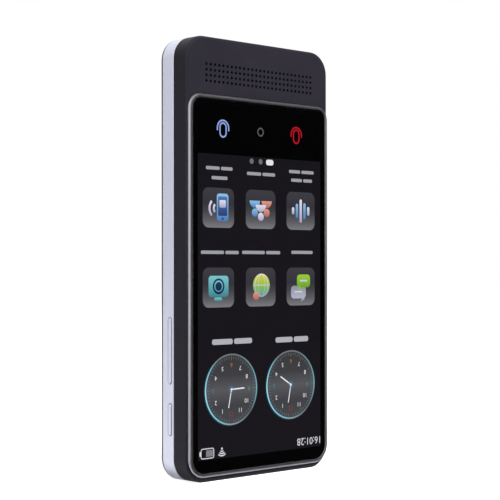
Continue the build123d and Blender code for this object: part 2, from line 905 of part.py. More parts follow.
def make_speaker_contacts():
    middle = contact_offset - speaker_width / 2
    pins = [rod(contact_radius, x, speaker_z, speaker_back_y, port_board_y)
            for x in (middle - contact_spacing / 2, middle + contact_spacing / 2)]
    return Compound(children=pins)


# ---------------------------------------------------------------- side keys
def key_cap(z, length):
    """Slot-shaped cap with a flange inside the wall."""
    cap = side_slot(key_width, length, z, -side_x - key_raise, flange_x)
    outer_face = cap.faces().sort_by(Axis.X)[0]
    cap = fillet(outer_face.edges(), key_edge_radius)
    flange = block(flange_x, flange_inner_x, key_y - key_width / 2 - flange_margin,
                   key_y + key_width / 2 + flange_margin,
                   z - length / 2 - flange_margin, z + length / 2 + flange_margin)
    return cap + flange


def key_nub(z):
    return peg(nub_radius, key_y, z, flange_inner_x, nub_x)


def make_power_key():
    return key_cap(power_z, power_length) + key_nub(power_z)


def key_saddle():
    """Cradle on the volume key's inner side that sits on the rounded fulcrum."""
    radius = fulcrum_radius + nub_gap
    half = key_board_width / 2
    saddle = block(flange_inner_x, fulcrum_x - saddle_setback, key_y - half, key_y + half,
                   volume_z - radius - saddle_margin, volume_z + radius + saddle_margin)
    return saddle - rod(radius, fulcrum_x, volume_z, key_y - half, key_y + half)


def make_volume_key():
    key = key_cap(volume_z, volume_length) + key_saddle()
    for z in volume_switch_heights:
        key += key_nub(z)
    return key


def plunger(z):
    return peg(plunger_radius, key_y, z, nub_x, plunger_x + plunger_length)


def make_power_plunger():
    return plunger(power_z)


def make_volume_plungers():
    return Compound(children=[plunger(z) for z in volume_switch_heights])


def make_side_switches():
    switches = []
    for z in (power_z, *volume_switch_heights):
        body = block(switch_x, key_board_x, key_y - switch_width / 2, key_y + switch_width / 2,
                     z - switch_length / 2, z + switch_length / 2)
        bore = peg(plunger_radius + plunger_clearance, key_y, z, switch_x,
                   plunger_x + plunger_length + bore_spare)
        switches.append(body - bore)
    return Compound(children=switches)


def make_side_key_board():
    half = key_board_width / 2
    return block(key_board_x, bracket_x, key_y - half, key_y + half,
                 bracket_low + key_board_inset, bracket_high - key_board_inset)


def make_side_key_bracket():
    """Bent strip that stands on the frame plate and carries the rocker's fulcrum."""
    upright = block(bracket_x, bracket_inner_x, mid_back_y, key_y + key_board_width / 2,
                    bracket_low, bracket_high)
    foot = block(bracket_x, bracket_x + bracket_foot, mid_back_y,
                 mid_back_y + bracket_thickness, bracket_low, bracket_high)
    return upright + foot


def make_key_fulcrum():
    """Block on the key board with a rounded edge that the volume key rocks on."""
    half = key_board_width / 2
    body = block(fulcrum_x, key_board_x, key_y - half, key_y + half,
                 volume_z - fulcrum_radius, volume_z + fulcrum_radius)
    return body + rod(fulcrum_radius, fulcrum_x, volume_z, key_y - half, key_y + half)


# ---------------------------------------------------------------- microphones
def microphone_stack(low_z, direction):
    """Rubber boot against an end wall, and the microphone behind it."""
    half = microphone_boot_depth / 2
    boot_end = low_z + direction * microphone_boot_length
    far_end = boot_end + direction * microphone_height
    boot_z = sorted((low_z, boot_end))
    cell_z = sorted((boot_end, far_end))
    boot = block(microphone_x - microphone_boot_width / 2, microphone_x + microphone_boot_width / 2,
                 key_y - half, key_y + half, boot_z[0], boot_z[1])
    boot -= pin(microphone_hole_radius, microphone_x, key_y, boot_z[0], boot_z[1])
    cell = block(microphone_x - microphone_width / 2, microphone_x + microphone_width / 2,
                 key_y - half, key_y + half, cell_z[0], cell_z[1])
    return boot, cell


def make_microphone_boots():
    return Compound(children=[microphone_stack(wall, 1)[0], microphone_stack(inner_high, -1)[0]])


def make_microphones():
    return Compound(children=[microphone_stack(wall, 1)[1], microphone_stack(inner_high, -1)[1]])


# ---------------------------------------------------------------- camera and flash
def make_camera_module():
    return slab(camera_body, camera_body, camera_x, camera_z, board_back_y, camera_barrel_y,
                camera_corner)


def make_camera_barrel():
    end_y = camera_barrel_y + barrel_depth
    barrel = rod(barrel_radius, camera_x, camera_z, camera_barrel_y, end_y)
    return barrel - rod(barrel_bore_radius, camera_x, camera_z, end_y - barrel_bore_depth, end_y)


def make_camera_trim():
    """Ring on the rear housing that stands proud of the cover and holds the window."""
    ring = rod(trim_radius, camera_x, camera_z, cover_y, back_y + camera_raise)
    ring = fillet(back_edges(ring), trim_edge_radius)
    ring -= rod(trim_radius - trim_width, camera_x, camera_z, cover_y + trim_ledge,
                back_y + camera_raise)
    return ring - rod(trim_radius - trim_width - trim_ledge_width, camera_x, camera_z,
                      cover_y, cover_y + trim_ledge)


def make_camera_window():
    front = cover_y + trim_ledge
    return rod(trim_radius - trim_width, camera_x, camera_z, front,
               front + camera_window_thickness)


def make_flash_led():
    return slab(flash_led_size, flash_led_size, flash_x, camera_z, board_back_y,
                board_back_y + flash_led_height)


def make_flash_lens():
    """Light pipe with a wider head that shows in the back cover."""
    pipe = rod(flash_pipe_radius, flash_x, camera_z,
               board_back_y + flash_led_height + flash_gap, cover_y)
    return pipe + rod(flash_radius, flash_x, camera_z, cover_y, back_y)


def make_vibration_motor():
    return rod(motor_radius, motor_x, motor_z, mid_back_y, mid_back_y + motor_height)


def make_wifi_antenna():
    """Thin printed aerial on the inside of the rear housing."""
    return slab(antenna_width, antenna_height, antenna_x, camera_z + antenna_offset,
                floor_y - flex_thickness, floor_y, antenna_corner)


# ---------------------------------------------------------------- one file for each node
NODES = {
    "front_housing": make_front_housing,
    "rear_housing": make_rear_housing,
    "back_cover": make_back_cover,
    "case_screws": make_case_screws,
    "thread_inserts": make_thread_inserts,
    "screen_bezel": make_screen_bezel,
    "cover_glass": make_cover_glass,
    "glass_tape": make_glass_tape,
    "display_panel": make_display_panel,
    "display_backlight": make_display_backlight,
    "display_flex": make_display_flex,
    "key_light_guide": make_key_light_guide,
    "key_leds": make_key_leds,
    "touch_key_board": make_touch_key_board,
    "touch_flex": make_touch_flex,
    "mid_plate": make_mid_plate,
    "main_board": make_main_board,
    "board_standoffs": make_board_standoffs,
    "board_screws": make_board_screws,
    "board_connectors": make_board_connectors,
    "front_shield": make_front_shield,
    "rear_shield": make_rear_shield,
    "processor": make_processor,
    "memory_chip": make_memory,
    "power_chip": make_power_chip,
    "radio_chip": make_radio_chip,
    "link_flex": make_link_flex,
    "battery_cell": make_battery_cell,
    "battery_circuit": make_battery_circuit,
    "battery_tape": make_battery_tape,
    "battery_lead": make_battery_lead,
    "port_board": make_port_board,
    "usb_shell": make_usb_shell,
    "usb_tongue": make_usb_tongue,
    "grille_mesh": make_grille_mesh,
    "speaker_gasket": make_speaker_gasket,
    "speaker_box": make_speaker_box,
    "speaker_cone": make_speaker_cone,
    "speaker_magnet": make_speaker_magnet,
    "speaker_contacts": make_speaker_contacts,
    "power_key": make_power_key,
    "power_plunger": make_power_plunger,
    "volume_key": make_volume_key,
    "volume_plungers": make_volume_plungers,
    "side_switches": make_side_switches,
    "side_key_board": make_side_key_board,
    "side_key_bracket": make_side_key_bracket,
    "key_fulcrum": make_key_fulcrum,
    "microphone_boots": make_microphone_boots,
    "microphones": make_microphones,
    "camera_module": make_camera_module,
    "camera_barrel": make_camera_barrel,
    "camera_trim": make_camera_trim,
    "camera_window": make_camera_window,
    "flash_led": make_flash_led,
    "flash_lens": make_flash_lens,
    "vibration_motor": make_vibration_motor,
    "wifi_antenna": make_wifi_antenna,
}

os.makedirs("parts", exist_ok=True)
for node, make in NODES.items():
    export_step(make(), f"parts/{node}.step")
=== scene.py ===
import math
from functools import partial

import bmesh
import bpy
from bpy.props import FloatProperty, FloatVectorProperty, PointerProperty
from bpy.types import Operator, Panel, PropertyGroup
from mathutils import Matrix, Vector


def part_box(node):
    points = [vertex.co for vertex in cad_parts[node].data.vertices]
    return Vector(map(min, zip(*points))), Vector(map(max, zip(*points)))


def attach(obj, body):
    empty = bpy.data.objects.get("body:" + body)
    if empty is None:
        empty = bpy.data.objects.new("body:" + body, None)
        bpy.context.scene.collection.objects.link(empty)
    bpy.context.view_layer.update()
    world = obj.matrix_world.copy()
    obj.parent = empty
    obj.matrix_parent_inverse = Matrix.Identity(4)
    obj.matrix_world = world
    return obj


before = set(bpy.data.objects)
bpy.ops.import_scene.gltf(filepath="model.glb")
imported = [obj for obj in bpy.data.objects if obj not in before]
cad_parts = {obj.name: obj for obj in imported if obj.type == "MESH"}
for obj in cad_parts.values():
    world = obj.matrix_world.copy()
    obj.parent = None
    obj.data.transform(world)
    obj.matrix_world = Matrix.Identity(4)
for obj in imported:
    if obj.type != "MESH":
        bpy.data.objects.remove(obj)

bl_info = {
    "name": "Handheld Translator Finishes",
    "version": (1, 0, 0),
    "blender": (4, 5, 0),
    "location": "3D View > Sidebar > Translator",
    "description": "Dresses the handheld translator's solids with finishes, screen graphics and a stage",
    "category": "Object",
}

MM = 0.001
GLASS_LOW, GLASS_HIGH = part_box("cover_glass")
FILM = 0.004 * MM       # thickness of one layer of screen graphics
LAYER = 0.012 * MM      # from one layer to the next
SCREEN_Y = GLASS_LOW.y + 0.25 * MM      # the display is bonded to the glass and looks flush with it
FACE_SCREEN = Matrix(((-1, 0, 0), (0, 0, -1), (0, -1, 0))).to_4x4()     # it is read the other way up
FACE_BACK = Matrix.Rotation(math.radians(-90), 4, "X")
DIGIT_SHARE = 0.7       # height of a digit as a share of its font size
WAVE = 0.31             # a wave texture at scale 1 repeats about once in this length


def linear(colour):
    """Linear RGBA of an sRGB hex colour such as "#26262B"."""
    levels = [int(colour[i:i + 2], 16) / 255 for i in (1, 3, 5)]
    return tuple(c / 12.92 if c <= 0.04045 else ((c + 0.055) / 1.055) ** 2.4 for c in levels) + (1.0,)


# ---------- settings
def colour_setting(name, description, colour):
    return FloatVectorProperty(name=name, description=description, subtype="COLOR", size=4,
                               min=0.0, max=1.0, default=linear(colour))


def length_setting(name, description, millimetres):
    return FloatProperty(name=name, description=description, unit="LENGTH", subtype="DISTANCE",
                         default=millimetres * MM)


class ShellSettings(PropertyGroup):
    front_colour: colour_setting("Front shell", "Moulded black polycarbonate", "#1F1D24")
    rear_colour: colour_setting("Rear shell", "Silver paint on the side band", "#D2D5E4")
    # the black back edge, its colour and depth below, also serves as painted shade for the dark reflection
    # along the rounded back edge
    back_colour: colour_setting("Back", "Moulded black back cover and bare back edge", "#1B1A1F")
    bare_edge: length_setting("Bare edge", "Depth of the unpainted back edge of the rear shell", 1.7)
    bezel_colour: colour_setting("Bezel", "Anodised frame around the glass", "#A8A7AD")
    grain: length_setting("Mould grain", "Width of the spark-eroded grain", 0.35)
    flake: length_setting("Paint flake", "Width of the flakes in the silver paint", 0.3)
    brush: length_setting("Brush line", "Spacing of the brushed lines on the bezel", 0.12)


class ScreenSettings(PropertyGroup):
    lit_width: length_setting("Lit width", "Width of the lit area", 59.9)
    lit_low: length_setting("Lit low end", "Height of the lit area's lower edge", 7.7)
    lit_high: length_setting("Lit high end", "Height of the lit area's upper edge", 111.6)
    tile_width: length_setting("Tile width", "Width of an icon tile", 14.5)
    tile_height: length_setting("Tile height", "Height of an icon tile", 13.6)
    tile_corner: length_setting("Tile corner", "Corner radius of an icon tile", 2.5)
    tile_pitch: length_setting("Tile pitch", "Distance between the tile columns", 20.1)
    shift: length_setting("Shift", "How far the tiles stand to the side of the middle", -0.4)
    far_row: length_setting("Far row", "Height of the tile row next to the touch keys", 93.3)
    near_row: length_setting("Near row", "Height of the tile row next to the clocks", 66.1)
    clock_radius: length_setting("Clock radius", "Outer radius of a clock", 12.3)
    clock_x: length_setting("Clock offset", "Distance of each clock from the middle", 14.55)
    clock_z: length_setting("Clock height", "Height of the clocks' middles", 31.0)
    key_pitch: length_setting("Touch key pitch", "Distance between the touch symbols", 17.9)
    key_z: length_setting("Touch key height", "Height of the touch symbols' middles", 120.45)
    lit_colour: colour_setting("Lit ground", "Ground colour of the lit area", "#1B191E")
    ask_colour: colour_setting("Blue symbol", "Left touch symbol", "#9DB2F0")
    reply_colour: colour_setting("Red symbol", "Right touch symbol", "#C9182C")
    mark_colour: colour_setting("Status marks", "Time, battery and radio waves", "#E6E6EA")


class StageSettings(PropertyGroup):
    distance: length_setting("Camera distance", "From the body's front to the camera", 490.4)
    azimuth: FloatProperty(name="Azimuth", description="Turn of the camera from the screen's normal",
                           subtype="ANGLE", default=math.radians(-43.77))
    lens: FloatProperty(name="Lens", description="Focal length on a 36 mm sensor", default=101.06, min=1.0)
    sky: FloatProperty(name="Sky level", description="Strength of the even light", default=0.36, min=0.0)
    side_power: FloatProperty(name="Side lamp", description="Power of the soft lamp beside the keys",
                              subtype="POWER", default=1.7, min=0.0)
    front_power: FloatProperty(name="Front lamp", description="Power of the soft lamp before the screen",
                               subtype="POWER", default=22.5, min=0.0)


# ---------- node helper
def node(owner, kind, out=0, stops=(), **parts):
    """Adds a node with its settings and links to a material or world, and gives back one of its outputs.

    A part in lower case is a setting. The others are inputs, by name, or by number as in i2.
    Stops are the positions and colours of a colour ramp.
    """
    made = owner.node_tree.nodes.new("ShaderNode" + kind)
    for part, value in parts.items():
        if part.islower() and not part[1:].isdigit():
            setattr(made, part, value)
            continue
        socket = made.inputs[int(part[1:]) if part[1:].isdigit() else part.replace("_", " ")]
        if isinstance(value, bpy.types.NodeSocket):
            owner.node_tree.links.new(value, socket)
        else:
            socket.default_value = value
    for i, (at, colour) in enumerate(stops):
        marks = made.color_ramp.elements
        mark = marks[i] if i < len(marks) else marks.new(at)
        mark.position, mark.color = at, colour
    return made.outputs[out] if made.outputs else None


def make_finish(name, surface, *values):
    """Material named for the real one. Its surface function adds the nodes, from colours turned linear."""
    material = bpy.data.materials.new(name)
    material.use_nodes = True
    material.node_tree.nodes.clear()
    values = [linear(value) if isinstance(value, str) else value for value in values]
    add = partial(node, material)
    add("OutputMaterial", Surface=surface(add, *values))
    return material


def shades(colour, *stops):
    """Stops of a colour ramp, from positions and factors that make the colour lighter or darker there."""
    return [(at, tuple(min(1.0, c * factor) for c in colour[:3]) + (1.0,)) for at, factor in stops]


def patterned(add, pattern, stops, depth, strength, **looks):
    """Surface whose colour and relief follow one pattern."""
    base = add("ValToRGB", Fac=pattern, stops=stops)
    relief = add("Bump", Height=pattern, Distance=depth, Strength=strength)
    return add("BsdfPrincipled", Base_Color=base, Normal=relief, **looks)


# ---------- outer finishes
def moulded_polycarbonate(add, colour, grain):
    """Polycarbonate from a spark-eroded mould: a fine matt grain, and a little polish in patches."""
    place = add("TexCoord", "Object")
    # the real grain is near 0.05 mm wide and is drawn coarser, so that it shows
    pits = add("TexVoronoi", "Distance", feature="SMOOTH_F1", Vector=place, Scale=1 / grain)
    cloud = add("TexNoise", "Fac", Vector=place, Scale=1 / (9 * MM), Detail=4.0, Roughness=0.6)
    speck = add("TexNoise", "Fac", Vector=place, Scale=1 / (0.5 * grain), Detail=2.0)
    tone = add("Mix", Factor=0.35, i2=cloud, i3=speck)
    base = add("ValToRGB", Fac=tone, stops=shades(colour, (0.3, 0.9), (0.7, 1.12)))
    rough = add("MapRange", Value=cloud, From_Min=0.3, From_Max=0.7, To_Min=0.44, To_Max=0.56)
    relief = add("Bump", Height=pits, Distance=0.02 * MM, Strength=0.35)
    return add("BsdfPrincipled", Base_Color=base, Roughness=rough, Normal=relief, IOR=1.585,
                Specular_IOR_Level=0.1)


def flaked_lacquer(add, place, colour, flake):
    """Colour, relief and tone of silver lacquer: aluminium flakes under a satin clear layer."""
    # the real flakes are near 0.03 mm wide and are drawn coarser, so that they show
    flakes = add("TexVoronoi", "Color", Vector=place, Scale=1 / flake)
    sparkle = add("SeparateColor", "Red", Color=flakes)
    cloud = add("TexNoise", "Fac", Vector=place, Scale=1 / (14 * MM), Detail=3.0)
    tone = add("Mix", Factor=0.3, i2=cloud, i3=sparkle)
    base = add("ValToRGB", Fac=tone, stops=shades(colour, (0.2, 0.95), (0.8, 1.04)))
    peel = add("TexNoise", "Fac", Vector=place, Scale=1 / (1.6 * MM), Detail=1.0)
    relief = add("Bump", Height=peel, Distance=0.01 * MM, Strength=0.5)
    relief = add("Bump", Height=sparkle, Distance=0.004 * MM, Strength=0.5, Normal=relief)
    return base, relief, tone


def masked_lacquer(add, colour, flake, shaded, line):
    """Silver lacquer over polycarbonate, with a black band behind a line in depth: the black back colour, and
    also painted shade for the dark reflection along the rounded back edge.
    """
    place = add("TexCoord", "Object")
    base, relief, _ = flaked_lacquer(add, place, colour, flake)
    depth = add("SeparateXYZ", "Y", Vector=place)
    soft = 0.05 * MM        # half the width of the soft edge of the black band
    shaded_edge_mask = add("MapRange", Value=depth, From_Min=line - soft, From_Max=line + soft)
    base = add("Mix", 2, data_type="RGBA", i0=shaded_edge_mask, i6=base, i7=shaded)
    rough = add("MapRange", Value=shaded_edge_mask, To_Min=0.42, To_Max=0.52)
    metal = add("MapRange", Value=shaded_edge_mask, To_Min=0.6, To_Max=0.0)
    return add("BsdfPrincipled", Base_Color=base, Roughness=rough, Normal=relief, Metallic=metal,
                Coat_Weight=0.15, Coat_Roughness=0.25)


def worn_lacquer(add, colour, flake, low, high):
    """Silver lacquer on a key's cap, with painted shade on its rim, most on its back half, for the shade in
    the gap around the key.
    """
    place = add("TexCoord", "Object")
    base, relief, tone = flaked_lacquer(add, place, colour, flake)
    rough = add("MapRange", Value=tone, From_Min=0.2, From_Max=0.8, To_Min=0.3, To_Max=0.39)
    half = (high.y - low.y) / 2
    to_front = Vector((0.0, -0.3 * MM, 0.0))    # moves the whole rim forwards, so the painted shade is deepest on the back half
    middle = (low + high) / 2 + to_front
    # distance from the middle line of the cap, whose ends are round; depth into the wall (x) doesn't count
    away = add("VectorMath", operation="SUBTRACT", i0=place, i1=middle)
    away = add("VectorMath", operation="ABSOLUTE", i0=away)
    away = add("VectorMath", operation="SUBTRACT", i0=away, i1=(1.0, 0.0, (high.z - low.z) / 2 - half))
    away = add("VectorMath", operation="MAXIMUM", i0=away, i1=(0.0, 0.0, 0.0))
    away = add("VectorMath", "Value", operation="LENGTH", i0=away)
    # painted shade: the rim turns towards a dark grey, standing in for the shade in the gap around the cap
    rim_shade_start, rim_shade_end, rim_shade_strength = half - 0.25 * MM, half - 0.05 * MM, 0.7
    rim_shade = add("MapRange", Value=away, From_Min=rim_shade_start, From_Max=rim_shade_end, To_Max=rim_shade_strength)
    base = add("Mix", 2, data_type="RGBA", i0=rim_shade, i6=base, i7=linear("#3A3A42"))
    return add("BsdfPrincipled", Base_Color=base, Roughness=rough, Normal=relief, Metallic=0.6,
                Coat_Weight=0.15, Coat_Roughness=0.25)


def brushed_anodised(add, colour, line):
    """Aluminium brushed along each side of a frame, then anodised grey: fine lines that stretch the light."""
    place = add("TexCoord", "Object")
    across, along = 1 / line, 1 / (9 * MM)
    side_start, side_end = 27.5 * MM, 30.5 * MM     # where the brush turns from the ends to the long sides
    upright = add("Mapping", Vector=place, Scale=(across, across, along))
    level = add("Mapping", Vector=place, Scale=(along, across, across))
    lines_up = add("TexNoise", "Fac", Vector=upright, Scale=1.0, Detail=3.0)
    lines_over = add("TexNoise", "Fac", Vector=level, Scale=1.0, Detail=3.0)
    aside = add("Math", operation="ABSOLUTE", i0=add("SeparateXYZ", "X", Vector=place))
    on_side = add("MapRange", Value=aside, From_Min=side_start, From_Max=side_end)
    lines = add("Mix", Factor=on_side, i2=lines_over, i3=lines_up)
    rough = add("MapRange", Value=lines, From_Min=0.3, From_Max=0.7, To_Min=0.44, To_Max=0.56)
    return patterned(add, lines, shades(colour, (0.25, 0.9), (0.75, 1.08)), 0.006 * MM, 0.5, Metallic=1.0,
                     Roughness=rough)


def hardened_glass(add):
    """Toughened glass with a coating against reflections: clear, with faint finger marks in its shine."""
    place = add("TexCoord", "Object")
    marks = add("TexNoise", "Fac", Vector=place, Scale=1 / (17 * MM), Detail=5.0, Distortion=0.6)
    rough = add("MapRange", Value=marks, From_Min=0.45, From_Max=0.75, To_Min=0.02, To_Max=0.07)
    gloss = add("BsdfGlossy", Color=linear("#FFFFFF"), Roughness=rough)
    clear = add("BsdfTransparent", Color=linear("#FCFDFF"))
    edge = add("Fresnel", IOR=1.38)
    return add("MixShader", Fac=edge, i1=clear, i2=gloss)


# ---------- screen finishes
def screen_light(add, colour):
    """Light of one colour from the display or a lamp behind the print, with the panel's fine pixel grid."""
    place = add("TexCoord", "Object")
    # the real pixels are 0.08 mm apart and are drawn at 0.25 mm, so that they show
    grid = add("TexVoronoi", "Distance", distance="CHEBYCHEV", Vector=place, Scale=1 / (0.25 * MM),
                Randomness=0.0)
    level = add("MapRange", Value=grid, From_Min=0.3, From_Max=0.5, To_Min=1.0, To_Max=0.9)
    tinted = add("VectorMath", operation="SCALE", i0=colour[:3], Scale=level)
    return add("Emission", Color=tinted, Strength=1.0)


def screen_gradient(add, stops):
    """Light of the display that changes up a shape."""
    up = add("SeparateXYZ", "Y", Vector=add("TexCoord", "UV"))
    light = add("ValToRGB", Fac=up, stops=[(at, linear(colour)) for at, colour in stops])
    return add("Emission", Color=light, Strength=1.0)


def screen_sweep(add, stops):
    """Light of the display that changes round a ring, from its left over its lower edge."""
    spot = add("TexCoord", "UV")
    centred = add("VectorMath", operation="SUBTRACT", i0=spot, i1=(0.5, 0.5, 0.0))
    angle = add("TexGradient", "Fac", gradient_type="RADIAL", Vector=centred)
    light = add("ValToRGB", Fac=angle, stops=[(at, linear(colour)) for at, colour in stops])
    return add("Emission", Color=light, Strength=1.0)


def glows(**colours):
    """One plain light of the display for each named colour."""
    return [make_finish(name + "_glow", screen_light, colour) for name, colour in colours.items()]


def printed_ink(add):
    """Black ink screen-printed on the back of the glass: dense, with the faint orange peel of the print."""
    place = add("TexCoord", "Object")
    cloud = add("TexNoise", "Fac", Vector=place, Scale=1 / (0.6 * MM), Detail=2.0)
    base = add("ValToRGB", Fac=cloud, stops=((0.3, linear("#020203")), (0.7, linear("#050506"))))
    rough = add("MapRange", Value=cloud, To_Min=0.5, To_Max=0.65)
    return add("BsdfPrincipled", Base_Color=base, Roughness=rough, Specular_IOR_Level=0.0)


# ---------- inner finishes
def sheet_metal(add, colour, dullness, streak):
    """Rolled and pressed sheet: long rolling streaks and the shallow waves of the press."""
    place = add("TexCoord", "Object")
    rolled = add("Mapping", Vector=place, Scale=(1 / streak, 1 / streak, 1 / (12 * streak)))
    streaks = add("TexNoise", "Fac", Vector=rolled, Scale=1.0, Detail=4.0)
    waves = add("TexNoise", "Fac", Vector=place, Scale=1 / (20 * streak), Detail=1.0)
    base = add("ValToRGB", Fac=streaks, stops=shades(colour, (0.25, 0.86), (0.75, 1.06)))
    rough = add("MapRange", Value=streaks, From_Min=0.3, From_Max=0.7, To_Min=dullness - 0.08,
                 To_Max=dullness + 0.1)
    relief = add("Bump", Height=streaks, Distance=0.01 * MM, Strength=0.4)
    relief = add("Bump", Height=waves, Distance=0.05 * MM, Strength=0.3, Normal=relief)
    return add("BsdfPrincipled", Base_Color=base, Metallic=1.0, Roughness=rough, Normal=relief)


def turned_metal(add, colour, dullness):
    """Turned on a lathe from bar: fine rings of the tool and a duller film in patches."""
    place = add("TexCoord", "Object")
    rings = add("TexWave", "Fac", bands_direction="Y", Vector=place, Scale=1 / (1.2 * MM),
                 Distortion=0.4, Detail=1.0)
    film = add("TexNoise", "Fac", Vector=place, Scale=1 / (1.5 * MM), Detail=4.0)
    base = add("ValToRGB", Fac=film, stops=shades(colour, (0.35, 0.78), (0.65, 1.0)))
    rough = add("MapRange", Value=film, From_Min=0.35, From_Max=0.65, To_Min=dullness,
                 To_Max=dullness + 0.18)
    relief = add("Bump", Height=rings, Distance=0.012 * MM, Strength=0.5)
    return add("BsdfPrincipled", Base_Color=base, Metallic=1.0, Roughness=rough, Normal=relief)


def masked_board(add, colour):
    """Glass-epoxy board under solder mask: copper tracks that stand up faintly through the green."""
    place = add("TexCoord", "Object")
    tracks = add("TexVoronoi", "Distance", distance="MANHATTAN", Vector=place, Scale=1 / (2.6 * MM),
                  Randomness=0.7)
    copper = add("MapRange", Value=tracks, From_Min=0.32, From_Max=0.36)
    weave = add("TexBrick", "Fac", Vector=place, Scale=1 / (3.0 * MM), Mortar_Size=0.08)
    base = add("ValToRGB", Fac=copper, stops=shades(colour, (0.0, 0.75), (1.0, 1.5)))
    relief = add("Bump", Height=copper, Distance=0.02 * MM, Strength=0.5)
    relief = add("Bump", Height=weave, Distance=0.01 * MM, Strength=0.2, Normal=relief)
    return add("BsdfPrincipled", Base_Color=base, Roughness=0.32, Normal=relief, Coat_Weight=0.3)


def cast_epoxy(add, colour, grain):
    """Transfer-moulded epoxy or filled nylon: dull, with glass filler that glints here and there."""
    place = add("TexCoord", "Object")
    filler = add("TexNoise", "Fac", Vector=place, Scale=1 / grain, Detail=6.0, Roughness=0.7)
    rough = add("MapRange", Value=filler, From_Min=0.3, From_Max=0.7, To_Min=0.5, To_Max=0.72)
    return patterned(add, filler, shades(colour, (0.35, 0.8), (0.72, 1.5)), 0.02 * MM, 0.4, Roughness=rough)


def polyimide_flex(add, film, copper):
    """Polyimide film over etched copper: amber, with parallel conductors that show through."""
    place = add("TexCoord", "Object")
    pitch = 0.96875 * MM    # from one conductor to the next
    lines = add("TexWave", "Fac", bands_direction="X", Vector=place, Scale=WAVE / pitch)
    stripe = add("MapRange", Value=lines, From_Min=0.45, From_Max=0.55)
    stops = ((0.0, film), (1.0, copper))
    return patterned(add, stripe, stops, 0.01 * MM, 0.6, Roughness=0.3, Coat_Weight=0.4)


def pouch_foil(add, colour):
    """Aluminium laminate drawn over a battery cell: soft metal sheen with shallow creases."""
    place = add("TexCoord", "Object")
    creases = add("TexNoise", "Fac", Vector=place, Scale=1 / (7 * MM), Detail=3.0, Distortion=1.2)
    return patterned(add, creases, shades(colour, (0.3, 0.85), (0.7, 1.0)), 0.25 * MM, 0.35, Metallic=0.85,
                     Roughness=0.38)


def foam_or_rubber(add, colour, pore, dullness):
    """Closed-cell foam or silicone: dull, with small pores."""
    place = add("TexCoord", "Object")
    pores = add("TexVoronoi", "Distance", Vector=place, Scale=1 / pore)
    return patterned(add, pores, shades(colour, (0.0, 0.6), (0.5, 1.15)), 0.3 * pore, 0.5, Roughness=dullness)


def woven_mesh(add, colour):
    """Acoustic cloth woven from black polyester thread: two crossing sets of raised threads."""
    place = add("TexCoord", "Object")
    thread = 0.2 * MM       # the real threads are 0.07 mm apart and are drawn coarser, so that they show
    over = add("TexWave", "Fac", bands_direction="X", Vector=place, Scale=WAVE / thread)
    under = add("TexWave", "Fac", bands_direction="Z", Vector=place, Scale=WAVE / thread)
    cloth = add("Math", operation="MAXIMUM", i0=over, i1=under)
    return patterned(add, cloth, shades(colour, (0.55, 0.3), (1.0, 1.6)), 0.04 * MM, 0.8, Roughness=0.75,
                     Sheen_Weight=0.2)


def clear_acrylic(add, tint, dullness):
    """Moulded acrylic with prism lines 0.4 mm apart that spread the light of the lamp behind it."""
    place = add("TexCoord", "Object")
    prisms = add("TexWave", "Fac", bands_direction="X", Vector=place, Scale=WAVE / (0.4 * MM))
    relief = add("Bump", Height=prisms, Distance=0.05 * MM, Strength=0.5)
    rough = add("MapRange", Value=prisms, To_Min=dullness, To_Max=dullness + 0.1)
    return add("BsdfPrincipled", Base_Color=tint, Roughness=rough, Normal=relief, IOR=1.49)


def pulp_cone(add, colour):
    """Pressed paper diaphragm: short fibres that lie in all directions."""
    place = add("TexCoord", "Object")
    fibres = add("TexNoise", "Fac", Vector=place, Scale=1 / (0.4 * MM), Detail=8.0, Distortion=2.0)
    return patterned(add, fibres, shades(colour, (0.35, 0.6), (0.65, 1.5)), 0.04 * MM, 0.6, Roughness=0.85)


def coated_lens(add, tint):
    """Polished lens whose coating leaves a violet to green sheen at its rim."""
    facing = add("LayerWeight", "Facing", Blend=0.4)
    sheen = ((0.0, linear("#07060E")), (0.5, tint), (1.0, linear("#123A3A")))
    base = add("ValToRGB", Fac=facing, stops=sheen)
    return add("BsdfPrincipled", Base_Color=base, Roughness=0.03, IOR=1.6, Coat_Weight=1.0,
                Coat_Roughness=0.02)


# ---------- shape helpers
def rounded_shape(width, height, corner, steps=7):
    """Flat shape in its own XY plane with rounded corners."""
    shape = bmesh.new()
    bmesh.ops.create_grid(shape, x_segments=1, y_segments=1, size=0.5)
    bmesh.ops.scale(shape, vec=(width, height, 1.0), verts=shape.verts)
    almost_half = 0.499     # opposite corners stay apart
    corner = min(corner, almost_half * width, almost_half * height)
    if corner > 0:
        bmesh.ops.bevel(shape, geom=shape.verts[:], offset=corner, offset_type="OFFSET", segments=steps,
                        profile=0.5, affect="VERTICES", material=-1)
    return shape


def round_shape(radius, steps):
    """Flat disc in its own XY plane."""
    shape = bmesh.new()
    bmesh.ops.create_circle(shape, cap_ends=True, radius=radius, segments=steps)
    return shape


def hollowed(shape, stroke):
    """Leaves only a band of one width along the shape's edge."""
    bmesh.ops.inset_region(shape, faces=shape.faces[:], thickness=stroke, use_even_offset=True,
                           use_boundary=True)
    inner = max(shape.faces, key=lambda face: len(face.verts))
    bmesh.ops.delete(shape, geom=[inner], context="FACES_ONLY")
    return shape


def arc_shape(radius, stroke, start, sweep, steps):
    """Part of a flat ring, from its start angle, turned anticlockwise."""
    shape = bmesh.new()
    inner = shape.verts.new(((radius - stroke) * math.cos(start), (radius - stroke) * math.sin(start), 0.0))
    outer = shape.verts.new((radius * math.cos(start), radius * math.sin(start), 0.0))
    edge = shape.edges.new((inner, outer))
    bmesh.ops.spin(shape, geom=[inner, outer, edge], cent=(0, 0, 0), axis=(0, 0, 1), angle=sweep, steps=steps)
    return shape


